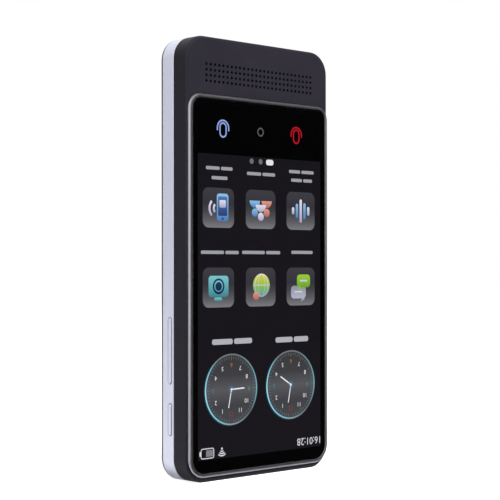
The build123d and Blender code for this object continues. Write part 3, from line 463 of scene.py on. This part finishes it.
def written_shape(words, height):
    """Flat digits, centred on their own middle."""
    curve = bpy.data.curves.new("digits", "FONT")
    curve.body = words
    curve.size = height / DIGIT_SHARE
    curve.align_x = "CENTER"
    curve.align_y = "CENTER"
    curve.resolution_u = 3
    holder = bpy.data.objects.new("digits", curve)
    bpy.context.scene.collection.objects.link(holder)
    bpy.context.view_layer.update()
    mesh = bpy.data.meshes.new_from_object(holder)
    shape = bmesh.new()
    shape.from_mesh(mesh)
    bpy.data.objects.remove(holder)
    bpy.data.curves.remove(curve)
    bpy.data.meshes.remove(mesh)
    bmesh.ops.remove_doubles(shape, verts=shape.verts, dist=0.0001 * MM)
    return shape


def write_unit_uv(shape):
    """UV map that runs from 0 to 1 over the shape's own width and height."""
    layer = shape.loops.layers.uv.verify()
    xs = [vert.co.x for vert in shape.verts]
    ys = [vert.co.y for vert in shape.verts]
    low_x, low_y = min(xs), min(ys)
    width, height = max(xs) - low_x, max(ys) - low_y
    for face in shape.faces:
        for loop in face.loops:
            loop[layer].uv = ((loop.vert.co.x - low_x) / width, (loop.vert.co.y - low_y) / height)


def thicken(shape, depth):
    """Raises a flat shape to a thin plate."""
    raised = bmesh.ops.extrude_face_region(shape, geom=shape.faces[:])
    verts = [part for part in raised["geom"] if isinstance(part, bmesh.types.BMVert)]
    bmesh.ops.translate(shape, vec=(0, 0, depth), verts=verts)
    bmesh.ops.recalc_face_normals(shape, faces=shape.faces)


def add_shape(sheet, shape, matrix, finish=0):
    """Moves a finished shape to its place and joins it to a sheet of like shapes."""
    for face in shape.faces:
        face.material_index = finish
    bmesh.ops.transform(shape, matrix=matrix, verts=shape.verts)
    if matrix.determinant() < 0:
        bmesh.ops.reverse_faces(shape, faces=shape.faces)
    mesh = bpy.data.meshes.new("part")
    shape.to_mesh(mesh)
    shape.free()
    sheet.from_mesh(mesh)
    bpy.data.meshes.remove(mesh)


def press(sheet, shape, x, z, layer, finish=0, turn=0.0):
    """Adds a flat shape of screen graphics at its place and layer inside the glass."""
    write_unit_uv(shape)
    thicken(shape, FILM)
    place = Matrix.Translation((x, SCREEN_Y - layer * LAYER, z))
    add_shape(sheet, shape, place @ FACE_SCREEN @ Matrix.Rotation(turn, 4, "Z"), finish)


# the next three press shapes whose places and sizes are given in millimetres
def card(sheet, x, z, layer, finish, width, height, corner=0.0, stroke=0.0, steps=7, turn=0.0):
    """Presses a card with rounded corners, or a frame where it has a stroke."""
    shape = rounded_shape(width * MM, height * MM, corner * MM, steps)
    if stroke:
        hollowed(shape, stroke * MM)
    press(sheet, shape, x * MM, z * MM, layer, finish, turn)


def disc(sheet, x, z, layer, finish, radius, steps, stroke=0.0, squeeze=1.0, turn=0.0):
    """Presses a disc, or a ring where it has a stroke, made narrower by a factor."""
    shape = round_shape(radius * MM, steps)
    if stroke:
        hollowed(shape, stroke * MM)
    bmesh.ops.scale(shape, vec=(squeeze, 1.0, 1.0), verts=shape.verts)
    press(sheet, shape, x * MM, z * MM, layer, finish, turn)


def arc(sheet, x, z, layer, finish, radius, stroke, start, sweep, steps):
    """Presses part of a ring, from its start angle over its sweep, both in degrees."""
    shape = arc_shape(radius * MM, stroke * MM, math.radians(start), math.radians(sweep), steps)
    press(sheet, shape, x * MM, z * MM, layer, finish)


def make_piece(name, sheet, materials, smooth=False):
    """Turns a finished sheet into a piece that rides on the case."""
    mesh = bpy.data.meshes.new(name)
    sheet.to_mesh(mesh)
    sheet.free()
    for material in materials:
        mesh.materials.append(material)
    if smooth:
        mesh.shade_smooth()
    piece = bpy.data.objects.new(name, mesh)
    bpy.context.scene.collection.objects.link(piece)
    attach(piece, "case")


def dress(nodes, name, surface, *values):
    """Gives one finish to the named nodes of the frame."""
    material = make_finish(name, surface, *values)
    for part in nodes.split():
        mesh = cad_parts[part].data
        mesh.materials.clear()
        mesh.materials.append(material)


# ---------- operators: finishes
class TRANSLATOR_OT_shells(Operator):
    """Gives the shells, bezel, keys and glass their finishes"""
    bl_idname = "translator.shells"
    bl_label = "Shell Finishes"

    def execute(self, context):
        shell = context.scene.translator_shell
        # where the black band begins, with its painted shade of the rounded back edge
        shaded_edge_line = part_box("rear_housing")[1].y - shell.bare_edge
        dress("front_housing", "moulded_black_polycarbonate",
              moulded_polycarbonate, shell.front_colour, shell.grain)
        dress("rear_housing", "silver_lacquer_with_shaded_edge",
              masked_lacquer, shell.rear_colour, shell.flake, shell.back_colour, shaded_edge_line)
        dress("back_cover", "moulded_black_cover",
              moulded_polycarbonate, shell.back_colour, 1.3 * shell.grain)
        cap_half = 0.85 * MM    # the cap is 1.7 mm wide
        flange = 0.55 * MM      # the flange inside the wall stands out by this at the cap's ends
        for key in ("power_key", "volume_key"):
            low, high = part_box(key)
            middle = (low.y + high.y) / 2
            dress(key, "silver_" + key + "_lacquer",
                  worn_lacquer, shell.rear_colour, shell.flake,
                  Vector((low.x, middle - cap_half, low.z + flange)),
                  Vector((high.x, middle + cap_half, high.z - flange)))
        dress("screen_bezel camera_trim", "brushed_grey_anodised_aluminium",
              brushed_anodised, shell.bezel_colour, shell.brush)
        dress("cover_glass camera_window", "coated_hardened_glass", hardened_glass)
        return {"FINISHED"}


class TRANSLATOR_OT_inner_parts(Operator):
    """Gives every piece inside the case its finish"""
    bl_idname = "translator.inner_parts"
    bl_label = "Inner Finishes"

    def execute(self, context):
        self.metals()
        self.boards_and_plastics()
        self.soft_parts()
        self.lights()
        return {"FINISHED"}

    def metals(self):
        dress("front_shield rear_shield microphones side_key_bracket", "pressed_nickel_silver",
              sheet_metal, "#B9B7AE", 0.3, 0.3 * MM)
        dress("usb_shell vibration_motor", "deep_drawn_stainless_steel",
              sheet_metal, "#A9AAAD", 0.28, 0.15 * MM)
        dress("mid_plate", "rolled_aluminium", sheet_metal, "#B8BABD", 0.42, 0.5 * MM)
        dress("case_screws board_screws", "turned_steel", turned_metal, "#9C9DA0", 0.26)
        dress("thread_inserts board_standoffs", "turned_brass", turned_metal, "#C79A4A", 0.28)
        dress("speaker_contacts", "gold_plated_contacts", turned_metal, "#E2B860", 0.2)
        dress("speaker_magnet", "nickel_plated_magnet", turned_metal, "#A7A4A0", 0.24)
        dress("battery_cell", "laminated_battery_pouch", pouch_foil, "#B4B6BA")

    def boards_and_plastics(self):
        dress("main_board port_board touch_key_board side_key_board battery_circuit", "green_masked_board",
              masked_board, "#0E4A2C")
        dress("processor memory_chip power_chip radio_chip", "moulded_epoxy_packages",
              cast_epoxy, "#17171A", 0.25 * MM)
        dress("board_connectors side_switches speaker_box key_fulcrum camera_module camera_barrel",
              "glass_filled_nylon", cast_epoxy, "#222226", 0.6 * MM)
        dress("usb_tongue", "liquid_crystal_polymer", cast_epoxy, "#101013", 0.2 * MM)
        dress("display_flex touch_flex link_flex battery_lead wifi_antenna", "amber_polyimide_flex",
              polyimide_flex, "#8A4A12", "#C77A2C")

    def soft_parts(self):
        dress("battery_tape glass_tape speaker_gasket", "black_foam_tape",
              foam_or_rubber, "#1A1A1C", 0.3 * MM, 0.9)
        dress("microphone_boots power_plunger volume_plungers", "silicone_rubber",
              foam_or_rubber, "#2A2A2C", 0.5 * MM, 0.6)
        dress("grille_mesh", "woven_acoustic_mesh", woven_mesh, "#0C0C0D")
        dress("speaker_cone", "pressed_paper_cone", pulp_cone, "#2B2825")

    def lights(self):
        dress("key_light_guide", "frosted_acrylic", clear_acrylic, "#D9DEE2", 0.35)
        dress("flash_lens", "prismed_acrylic_lens", clear_acrylic, "#E4E0C8", 0.12)
        dress("flash_led key_leds", "yellow_phosphor", foam_or_rubber, "#E6C84C", 0.15 * MM, 0.6)
        dress("display_panel", "display_panel_glow", screen_light, "#1B191E")
        dress("display_backlight", "white_backlight_tray", foam_or_rubber, "#D8D8D6", 0.2 * MM, 0.5)


# ---------- operators: screen
class TRANSLATOR_OT_screen_print(Operator):
    """Lays the black print and the lit ground of the display behind the glass"""
    bl_idname = "translator.screen_print"
    bl_label = "Screen Print"

    def execute(self, context):
        screen = context.scene.translator_screen
        margin, corner, ground_corner = 0.25 * MM, 3.4 * MM, 0.4 * MM
        ink = bmesh.new()
        size, middle = GLASS_HIGH - GLASS_LOW, (GLASS_LOW + GLASS_HIGH) / 2
        shape = rounded_shape(size.x - 2 * margin, size.z - 2 * margin, corner, steps=10)
        press(ink, shape, 0.0, middle.z, 0)
        make_piece("screen_ink", ink, [make_finish("black_screen_print", printed_ink)])
        ground = bmesh.new()
        shape = rounded_shape(screen.lit_width, screen.lit_high - screen.lit_low, ground_corner)
        press(ground, shape, 0.0, (screen.lit_low + screen.lit_high) / 2, 1)
        make_piece("lit_ground", ground, glows(lit_ground=screen.lit_colour))
        return {"FINISHED"}


class TRANSLATOR_OT_touch_symbols(Operator):
    """Draws the two microphone symbols and the ring between them"""
    bl_idname = "translator.touch_symbols"
    bl_label = "Touch Symbols"

    def execute(self, context):
        screen = context.scene.translator_screen
        # in millimetres: the line, the cradle's outer radius, and the capsule's width, height and corner
        stroke, cradle, capsule = 0.55, 2.9, (3.4, 5.3, 1.7)
        middle, z = -0.45, screen.key_z / MM
        symbols = bmesh.new()
        for side, finish in ((-1, 0), (1, 1)):
            x = middle + side * screen.key_pitch / MM
            card(symbols, x, z - 0.45, 1, finish, *capsule, stroke, steps=9)
            arc(symbols, x, z + 0.2, 2, finish, cradle, stroke, 180, 180, 24)
            for leg in (-1, 1):
                card(symbols, x + leg * (cradle - stroke / 2), z - 0.25, 2, finish, stroke, 0.9)
        disc(symbols, middle, z, 1, 2, 1.55, 40, stroke=0.45)
        lights = glows(blue_key=screen.ask_colour, red_key=screen.reply_colour, grey_key="#666668")
        make_piece("touch_symbols", symbols, lights)
        return {"FINISHED"}


# the pictograms' materials by their places, and the colours of their light from foot to top
SKY, LILAC, CORAL, TEAL, LIME, DEEP, LENS, PLAIN, LEAF = range(9)
PICTOGRAM_LIGHTS = (
    ("sky_blue_glow", ((0.0, "#8FC4E8"), (1.0, "#4F7FB8"))),
    ("pale_lilac_glow", ((0.0, "#E6E4F2"), (1.0, "#A9A7C4"))),
    ("coral_glow", ((0.0, "#E2A08C"), (1.0, "#B5645A"))),
    ("teal_glow", ((0.0, "#7FC9CE"), (1.0, "#3E8790"))),
    ("yellow_green_glow", ((0.0, "#E0D83C"), (0.55, "#8DBE4A"), (1.0, "#5FA0A8"))),
    ("deep_blue_glow", ((0.0, "#5573B4"), (1.0, "#2C3F74"))),
    ("dark_lens_glow", ((0.0, "#1A4A58"), (1.0, "#0C2430"))),
    ("grey_card_glow", ((0.0, "#8E90A0"), (1.0, "#B9BBCB"))),
    ("leaf_green_glow", ((0.0, "#9FD13E"), (1.0, "#6DA528"))))
TILE_LIGHT = ((0.0, "#403F44"), (0.4, "#37363C"), (0.6, "#47464B"), (0.8, "#5E5E62"), (1.0, "#7C7C80"))


class TRANSLATOR_OT_icon_tiles(Operator):
    """Draws the six tiles with their plain pictograms"""
    bl_idname = "translator.icon_tiles"
    bl_label = "Icon Tiles"

    def execute(self, context):
        screen = context.scene.translator_screen
        tiles = bmesh.new()
        for z in (screen.far_row, screen.near_row):
            for column in (-1, 0, 1):
                shape = rounded_shape(screen.tile_width, screen.tile_height, screen.tile_corner)
                press(tiles, shape, column * screen.tile_pitch + screen.shift, z, 2)
        light = make_finish("grey_tile_glow", screen_gradient, TILE_LIGHT)
        make_piece("icon_tiles", tiles, [light])
        art = bmesh.new()
        left, middle, right = ((screen.shift + column * screen.tile_pitch) / MM for column in (-1, 0, 1))
        far, near = screen.far_row / MM, screen.near_row / MM
        self.handset(art, left + 1.9, far)
        self.people(art, middle, far)
        self.level_bars(art, right, far)
        self.eye(art, left, near)
        self.ball(art, middle, near)
        self.bubbles(art, right, near)
        lights = [make_finish(name, screen_gradient, stops) for name, stops in PICTOGRAM_LIGHTS]
        make_piece("icon_pictograms", art, lights)
        return {"FINISHED"}

    def handset(self, art, x, z):
        """A handset with its screen, and waves beside it."""
        card(art, x, z + 0.2, 3, SKY, 5.4, 9.4, 1.1)
        card(art, x, z + 0.6, 4, DEEP, 4.2, 6.6, 0.5)
        card(art, x, z + 1.4, 5, LILAC, 3.0, 2.6, 0.5)
        disc(art, x, z - 3.6, 4, DEEP, 0.6, 20)
        for radius in (2.2, 3.7):
            arc(art, x - 1.7 - 0.3 * radius, z - 0.2, 4, LILAC, radius, 0.9, -48, 96, 14)

    def people(self, art, x, z):
        """Three people, each a head over its shoulders."""
        for aside, drop, finish, layer in ((-2.9, 0.6, SKY, 3), (2.9, 0.6, CORAL, 3), (0.0, -0.8, LILAC, 5)):
            arc(art, x + aside, z + drop + 2.4, layer, finish, 2.5, 2.5, 0, 180, 24)
            disc(art, x + aside, z + drop - 1.75, layer + 1, finish, 1.45, 28)

    def level_bars(self, art, x, z):
        """A row of level bars."""
        for i, height in enumerate((2.6, 5.2, 8.4, 5.8, 3.2)):
            card(art, x + (i - 2) * 1.95, z, 3, SKY if i % 2 else LILAC, 1.25, height, 0.6)

    def eye(self, art, x, z):
        """A round eye in a frame, with a foot."""
        card(art, x, z + 0.4, 3, TEAL, 9.2, 7.2, 1.2)
        disc(art, x, z + 0.4, 4, LENS, 2.7, 40)
        disc(art, x, z + 0.4, 5, SKY, 2.0, 40, stroke=0.5)
        card(art, x - 0.2, z - 4.0, 3, TEAL, 3.6, 1.2, 0.5)

    def ball(self, art, x, z):
        """A ball with its lines and a small disc before it."""
        radius, line = 4.1, 0.35
        disc(art, x + 0.3, z + 0.6, 3, LIME, radius, 48)
        for width in (3.4, 6.6):
            disc(art, x + 0.3, z + 0.6, 4, LILAC, radius, 48, line, squeeze=width / (2 * radius))
        card(art, x + 0.3, z + 0.6, 4, LILAC, 8.0, line, 0.1)
        disc(art, x - 2.3, z - 3.1, 5, CORAL, 1.5, 28)

    def bubbles(self, art, x, z):
        """Two speech bubbles, each with its tail and a line of speech."""
        for aside, drop, width, tail, finish, layer in ((-1.2, -2.0, 7.6, 2.0, PLAIN, 3),
                                                        (1.4, 2.0, 6.8, -1.8, LEAF, 5)):
            card(art, x + aside, z + drop, layer, finish, width, 4.6, 1.4)
            disc(art, x + aside + tail, z + drop - 2.5, layer, finish, 1.2, 3, turn=math.radians(90))
            card(art, x + aside, z + drop, layer + 1, LILAC, 0.55 * width, 0.7, 0.3)


class TRANSLATOR_OT_labels(Operator):
    """Draws plain bars where the names under the tiles and clocks would stand, and the page dots"""
    bl_idname = "translator.labels"
    bl_label = "Labels"

    def execute(self, context):
        labels = bmesh.new()
        small, large, gap = 1.15, 1.9, 0.65     # heights of the bars and the gap between them, in millimetres
        # middle of the line and the widths of its bars, in millimetres
        lines = (((-20.1, 106.8), (5.4, 6.3), small), ((-20.0, 103.5), (7.4,), small),
                 ((-0.2, 105.7), (6.2, 6.9), small),
                 ((20.1, 107.35), (6.4, 5.7), small), ((20.2, 104.3), (4.6, 5.6), small),
                 ((-19.8, 78.1), (6.3, 10.6), small), ((-0.1, 78.2), (7.0, 11.0), small),
                 ((20.4, 78.4), (11.0,), small),
                 ((-14.1, 47.5), (8.6, 9.6), large), ((15.2, 47.2), (7.4, 8.6), large))
        for (x, z), widths, height in lines:
            start = x - (sum(widths) + gap * (len(widths) - 1)) / 2
            finish = 0 if height == small else 1
            for width in reversed(widths):
                card(labels, start + width / 2, z, 2, finish, width, height, 0.4 * height)
                start += width + gap
        card(labels, 4.05, 110.0, 2, 2, 3.7, 2.0, 0.95)
        for x in (-4.8, -0.45):
            disc(labels, x, 110.05, 2, 3, 0.95, 28)
        lights = glows(small_label="#A9A9AE", name_label="#BDBDC2", page_mark="#F4F4F6", page_dot="#77777C")
        make_piece("labels", labels, lights)
        return {"FINISHED"}


DIAL_LIGHT = ((0.0, "#3B3B3D"), (0.3, "#414144"), (0.5, "#5A5A5D"), (0.72, "#434346"), (1.0, "#4A4B4E"))
RIM_LIGHT = ((0.0, "#78B4C4"), (0.08, "#6F9AA6"), (0.2, "#707478"), (0.34, "#74797D"), (0.42, "#7FC4D8"),
             (0.52, "#A6E6F6"), (0.64, "#7CCADF"), (0.74, "#8CA4AC"), (0.88, "#63676B"), (1.0, "#78B4C4"))
HALO_LIGHT = ((0.0, "#1B2428"), (0.2, "#1B191E"), (0.36, "#1B191E"), (0.5, "#1C3E4A"), (0.62, "#1C4654"),
              (0.78, "#1B191E"), (1.0, "#1B2428"))
NUMERAL, HAND, TWELVE, SIX, THREE, NINE, TICK = range(7)     # places on the clock marks' materials


class TRANSLATOR_OT_clocks(Operator):
    """Draws the two clock faces with their numerals, marks and hands"""
    bl_idname = "translator.clocks"
    bl_label = "Clocks"

    def execute(self, context):
        screen = context.scene.translator_screen
        aside, z, radius = screen.clock_x / MM, screen.clock_z / MM, screen.clock_radius / MM
        faces = bmesh.new()
        marks = bmesh.new()
        for x, hour in ((-aside, 8.95), (aside, 4.03)):
            disc(faces, x, z, 2, 2, radius + 0.45, 96)
            disc(faces, x, z, 3, 0, radius, 96)
            disc(faces, x, z, 4, 1, radius, 96, stroke=0.55)
            self.numerals(marks, x, z)
            self.ticks(marks, x, z, radius)
            self.hands(marks, x, z, hour, minute=2.0)
        make_piece("clock_faces", faces, [make_finish("dial_glow", screen_gradient, DIAL_LIGHT),
                                          make_finish("rim_glow", screen_sweep, RIM_LIGHT),
                                          make_finish("halo_glow", screen_sweep, HALO_LIGHT)])
        lights = glows(numeral="#F0F0F2", hand="#F2F8FC", red_twelve="#8E3F42", orange_six="#A87C48",
                       blue_three="#4C86A8", green_nine="#4F9478", tick="#6E8890")
        make_piece("clock_marks", marks, lights)
        return {"FINISHED"}

    def spot(self, x, z, turn, radius):
        """Place on a clock at a turn from its twelve, which is at the standing end."""
        return x - radius * math.sin(turn), z - radius * math.cos(turn)

    def numerals(self, marks, x, z):
        # radius of their ring and heights of the digits, in millimetres
        ring, tall, low = 8.4, 1.75, 1.5
        for hour in range(1, 13):
            at_x, at_z = self.spot(x, z, hour * math.pi / 6, ring)
            shape = written_shape(str(hour), (tall if hour == 12 else low) * MM)
            finish = {12: TWELVE, 6: SIX, 3: THREE, 9: NINE}.get(hour, NUMERAL)
            press(marks, shape, at_x * MM, at_z * MM, 4, finish)

    def ticks(self, marks, x, z, radius):
        gap, width, long, short = 1.0, 0.16, 1.3, 0.8       # in millimetres, the gap to the rim
        for minute in range(60):
            turn = minute * math.pi / 30
            length = long if minute % 5 == 0 else short
            finish = {0: TWELVE, 30: SIX, 15: THREE, 45: NINE}.get(minute, TICK)
            at = self.spot(x, z, turn, radius - gap - length / 2)
            card(marks, *at, 4, finish, width, length, turn=-turn)

    def hands(self, marks, x, z, hour, minute):
        for turn, length, width in ((hour * math.pi / 6, 6.4, 0.46), (minute * math.pi / 30, 6.8, 0.38)):
            at = self.spot(x, z, turn, 0.46 * length)
            card(marks, *at, 5, HAND, width, length, 0.45 * width, turn=-turn)
        disc(marks, x, z, 6, THREE, 1.15, 32, stroke=0.22)
        disc(marks, x, z, 6, HAND, 0.42, 24)


class TRANSLATOR_OT_status_bar(Operator):
    """Draws the time in digits, the battery and the radio waves"""
    bl_idname = "translator.status_bar"
    bl_label = "Status Bar"

    def execute(self, context):
        screen = context.scene.translator_screen
        bar = bmesh.new()
        press(bar, written_shape("16:01:28", 2.6 * MM), 24.1 * MM, 10.15 * MM, 2)
        battery_x, battery_z = -25.65, 9.9
        card(bar, battery_x, battery_z, 2, 0, 6.1, 3.6, 0.8, stroke=0.32)
        card(bar, battery_x + 0.95, battery_z, 2, 1, 3.2, 2.2, 0.3)
        card(bar, battery_x - 3.35, battery_z, 2, 0, 0.6, 1.6, 0.2)
        waves_x, waves_z = -19.0, 11.0
        disc(bar, waves_x, waves_z, 2, 0, 0.4, 20)
        for radius in (1.15, 1.9, 2.65):
            arc(bar, waves_x, waves_z, 2, 0, radius, 0.42, 48, 84, 12)
        make_piece("status_bar", bar, glows(status=screen.mark_colour, charge="#8A8A90"))
        return {"FINISHED"}


# ---------- operators: small outer pieces
def back_ring(sheet, x, y, z, radius, stroke, steps, finish=0):
    """Adds a thin ring that faces the back, with its radius and stroke in millimetres."""
    ring = hollowed(round_shape(radius * MM, steps), stroke * MM)
    thicken(ring, 0.03 * MM)
    add_shape(sheet, ring, Matrix.Translation((x, y, z)) @ FACE_BACK, finish)


class TRANSLATOR_OT_port_contacts(Operator):
    """Adds the gold contacts on both faces of the port's tongue"""
    bl_idname = "translator.port_contacts"
    bl_label = "Port Contacts"

    def execute(self, context):
        low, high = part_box("usb_tongue")
        pitch, count = 0.5 * MM, 12
        width, length, corner, thickness = 0.27 * MM, 3.0 * MM, 0.08 * MM, 0.06 * MM
        # how far the pads start from the tongue's middle, and their own middles from its end
        lift, inset = 0.33 * MM, 1.9 * MM
        middle_y = (low.y + high.y) / 2
        contacts = bmesh.new()
        for face in (-1, 1):
            for i in range(count):
                pad = rounded_shape(width, length, corner, steps=2)
                thicken(pad, thickness)
                at = ((i - (count - 1) / 2) * pitch, middle_y + face * lift, high.z - inset)
                turn = Matrix.Rotation(math.radians(-90 * face), 4, "X")
                add_shape(contacts, pad, Matrix.Translation(at) @ turn)
        gold = make_finish("gold_plated_port_contacts", turned_metal, "#E2B860", 0.2)
        make_piece("port_contacts", contacts, [gold])
        return {"FINISHED"}


class TRANSLATOR_OT_camera_optics(Operator):
    """Adds the lens, its baffle and the printed ring under the camera window"""
    bl_idname = "translator.camera_optics"
    bl_label = "Camera Optics"

    def execute(self, context):
        low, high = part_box("camera_barrel")
        window_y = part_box("camera_window")[0].y
        x, z = (low.x + high.x) / 2, (low.z + high.z) / 2
        radius, flatness, depth = 1.5 * MM, 0.45, 0.55 * MM
        lens = bmesh.new()
        bmesh.ops.create_uvsphere(lens, u_segments=48, v_segments=24, radius=radius)
        bmesh.ops.scale(lens, vec=(1.0, 1.0, flatness), verts=lens.verts)
        place = Matrix.Translation((x, high.y - depth, z)) @ FACE_BACK
        bmesh.ops.transform(lens, matrix=place, verts=lens.verts)
        make_piece("camera_lens", lens, [make_finish("coated_camera_lens", coated_lens, "#2A1A4A")],
                   smooth=True)
        rings = bmesh.new()
        back_ring(rings, x, window_y + 0.02 * MM, z, 4.5, 1.7, 64)          # the print under the window
        back_ring(rings, x, window_y - 0.1 * MM, z, 2.75, 0.35, 64, 1)      # the bright ring in its opening
        back_ring(rings, x, high.y + 0.02 * MM, z, 3.2, 1.1, 64)            # the baffle on the barrel
        make_piece("camera_rings", rings, [make_finish("camera_window_print", printed_ink),
                                           make_finish("turned_lens_ring", turned_metal, "#5A5C62", 0.25)])
        return {"FINISHED"}


class TRANSLATOR_OT_flash_prisms(Operator):
    """Adds the ringed face of the flash lens"""
    bl_idname = "translator.flash_prisms"
    bl_label = "Flash Prisms"

    def execute(self, context):
        low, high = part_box("flash_lens")
        prisms = bmesh.new()
        for radius in (0.45, 0.8, 1.15, 1.5):
            back_ring(prisms, (low.x + high.x) / 2, high.y, (low.z + high.z) / 2, radius, 0.14, 40)
        acrylic = make_finish("prism_ring_acrylic", clear_acrylic, "#F2EFD8", 0.1)
        make_piece("flash_prisms", prisms, [acrylic])
        return {"FINISHED"}


# ---------- operators: stage
def paper_floor(add):
    """White paper: matt, with faint fibres, and lit up where the camera or a shiny surface looks at it."""
    place = add("TexCoord", "Object")
    fibres = add("TexNoise", "Fac", Vector=place, Scale=1 / (2 * MM), Detail=3.0)
    base = add("ValToRGB", Fac=fibres, stops=((0.3, linear("#C6C6C8")), (0.7, linear("#CCCCCE"))))
    paper = add("BsdfDiffuse", Color=base, Roughness=1.0)
    mirrored = add("Math", operation="MULTIPLY", i0=add("LightPath", "Is Glossy Ray"), i1=0.35)
    seen = add("Math", operation="MAXIMUM", i0=add("LightPath", "Is Camera Ray"), i1=mirrored)
    lift = add("Math", operation="MULTIPLY", i0=seen, i1=0.8)
    glow = add("Emission", Color=linear("#FFFFFF"), Strength=lift)
    return add("AddShader", i0=paper, i1=glow)


# black cloth on frames, out of the camera's sight, that glass and metal show as their dark side:
# name, place, width and height in metres, and whether it lies flat or faces the body
FLAGS = (("front_flag", (0.62, -0.66, 0.075), 0.95, 0.95, False),
         ("floor_flag", (0.5, -0.662, 0.001), 1.7, 1.306, True),
         ("upper_flag", (0.60, -0.05, 0.72), 0.8, 0.7, False),
         ("ahead_flag", (-0.05, -1.15, 0.3), 1.1, 0.95, False),
         ("rear_flag", (-0.10, 0.75, 0.12), 0.7, 0.6, False),
         ("rear_floor_flag", (0.075, 0.09, 0.001), 0.17, 0.16, True))


class TRANSLATOR_OT_stage(Operator):
    """Sets the pale floor, the lamps, the flags and the camera"""
    bl_idname = "translator.stage"
    bl_label = "Stage"

    def execute(self, context):
        stage = context.scene.translator_stage
        self.sky(context, stage)
        floor_size = 12.0
        paper = make_finish("white_paper_floor", paper_floor)
        self.plane(context, "floor", floor_size, floor_size, Matrix(), paper)
        self.lamp(context, "side_lamp", (-0.75, -0.28, 0.30), 0.55, 0.7, stage.side_power)
        front_lamp = self.lamp(context, "front_lamp", (0.12, -0.66, 0.82), 0.5, 0.4, stage.front_power)
        front_lamp.visible_glossy = False       # glass and metal don't mirror it
        self.flags(context)
        self.camera(context, stage)
        context.scene.view_settings.view_transform = "Standard"
        return {"FINISHED"}

    def sky(self, context, stage):
        world = bpy.data.worlds.new("soft_even_sky")
        context.scene.world = world
        world.use_nodes = True
        world.node_tree.nodes.clear()
        add = partial(node, world)
        seen = add("LightPath", "Is Camera Ray")
        for ray in ("Is Glossy Ray", "Is Transmission Ray"):
            seen = add("Math", operation="MAXIMUM", i0=seen, i1=add("LightPath", ray))
        level = add("MapRange", Value=seen, To_Min=stage.sky, To_Max=1.0)
        add("OutputWorld", Surface=add("Background", Color=linear("#FFFFFF"), Strength=level))

    def plane(self, context, name, width, height, place, material):
        """Adds a flat piece of the stage."""
        sheet = bmesh.new()
        bmesh.ops.create_grid(sheet, x_segments=1, y_segments=1, size=0.5)
        bmesh.ops.scale(sheet, vec=(width, height, 1.0), verts=sheet.verts)
        bmesh.ops.transform(sheet, matrix=place, verts=sheet.verts)
        mesh = bpy.data.meshes.new(name)
        sheet.to_mesh(mesh)
        sheet.free()
        mesh.materials.append(material)
        plane = bpy.data.objects.new(name, mesh)
        context.scene.collection.objects.link(plane)
        return plane

    def lamp(self, context, name, place, width, height, power):
        """Adds a soft lamp that looks at the body, with its place and sizes in metres."""
        data = bpy.data.lights.new(name, "AREA")
        data.shape = "RECTANGLE"
        data.size = width
        data.size_y = height
        data.energy = power
        lamp = bpy.data.objects.new(name, data)
        lamp.location = place
        lamp.rotation_euler = (Vector((0.0, 0.0, 0.08)) - Vector(place)).to_track_quat("-Z", "Y").to_euler()
        context.scene.collection.objects.link(lamp)
        return lamp

    def flags(self, context):
        cloth = make_finish("black_flag_cloth", foam_or_rubber, "#050505", 1.0 * MM, 0.95)
        body = Vector((0.0, 0.0, 0.075))
        for name, place, width, height, flat in FLAGS:
            turn = Matrix()
            if not flat:
                turn = (body - Vector(place)).to_track_quat("Z", "Y").to_matrix().to_4x4()
            flag = self.plane(context, name, width, height, Matrix.Translation(place) @ turn, cloth)
            flag.visible_camera = False
            flag.visible_diffuse = False
            flag.visible_shadow = False

    def camera(self, context, stage):
        data = bpy.data.cameras.new("camera")
        data.lens = stage.lens
        data.sensor_width = 36.0
        data.shift_x = -0.001
        data.shift_y = 0.0384
        data.clip_start = 0.01
        data.clip_end = 50.0
        aim = Vector((-4.67 * MM, -6.6 * MM, 72.34 * MM))
        roll = 0.0008
        camera = bpy.data.objects.new("camera", data)
        ahead = Vector((math.sin(-stage.azimuth), math.cos(stage.azimuth), 0.0))
        camera.location = aim - stage.distance * ahead
        camera.rotation_euler = (math.radians(90), roll, stage.azimuth)
        context.scene.collection.objects.link(camera)
        context.scene.camera = camera


# ---------- panel and registration
STEPS = (TRANSLATOR_OT_shells, TRANSLATOR_OT_inner_parts, TRANSLATOR_OT_screen_print,
         TRANSLATOR_OT_touch_symbols, TRANSLATOR_OT_icon_tiles, TRANSLATOR_OT_labels, TRANSLATOR_OT_clocks,
         TRANSLATOR_OT_status_bar, TRANSLATOR_OT_port_contacts, TRANSLATOR_OT_camera_optics,
         TRANSLATOR_OT_flash_prisms, TRANSLATOR_OT_stage)


SETTINGS = {"translator_shell": ShellSettings, "translator_screen": ScreenSettings,
            "translator_stage": StageSettings}


class TRANSLATOR_PT_panel(Panel):
    """Lists the settings and the steps that dress the translator"""
    bl_idname = "TRANSLATOR_PT_panel"
    bl_label = "Handheld Translator"
    bl_space_type = "VIEW_3D"
    bl_region_type = "UI"
    bl_category = "Translator"

    def draw(self, context):
        for name in SETTINGS:
            group = getattr(context.scene, name)
            box = self.layout.box()
            for key in group.__annotations__:
                box.prop(group, key)
        for step in STEPS:
            self.layout.operator(step.bl_idname)


CLASSES = (*SETTINGS.values(), *STEPS, TRANSLATOR_PT_panel)


def register():
    for made in CLASSES:
        bpy.utils.register_class(made)
    for name, group in SETTINGS.items():
        setattr(bpy.types.Scene, name, PointerProperty(type=group))


def unregister():
    for name in SETTINGS:
        delattr(bpy.types.Scene, name)
    for made in reversed(CLASSES):
        bpy.utils.unregister_class(made)


def main():
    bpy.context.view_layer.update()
    register()
    for step in STEPS:
        run = getattr(bpy.ops.translator, step.bl_idname.split(".")[1])
        run()


if __name__ == "__main__":
    main()
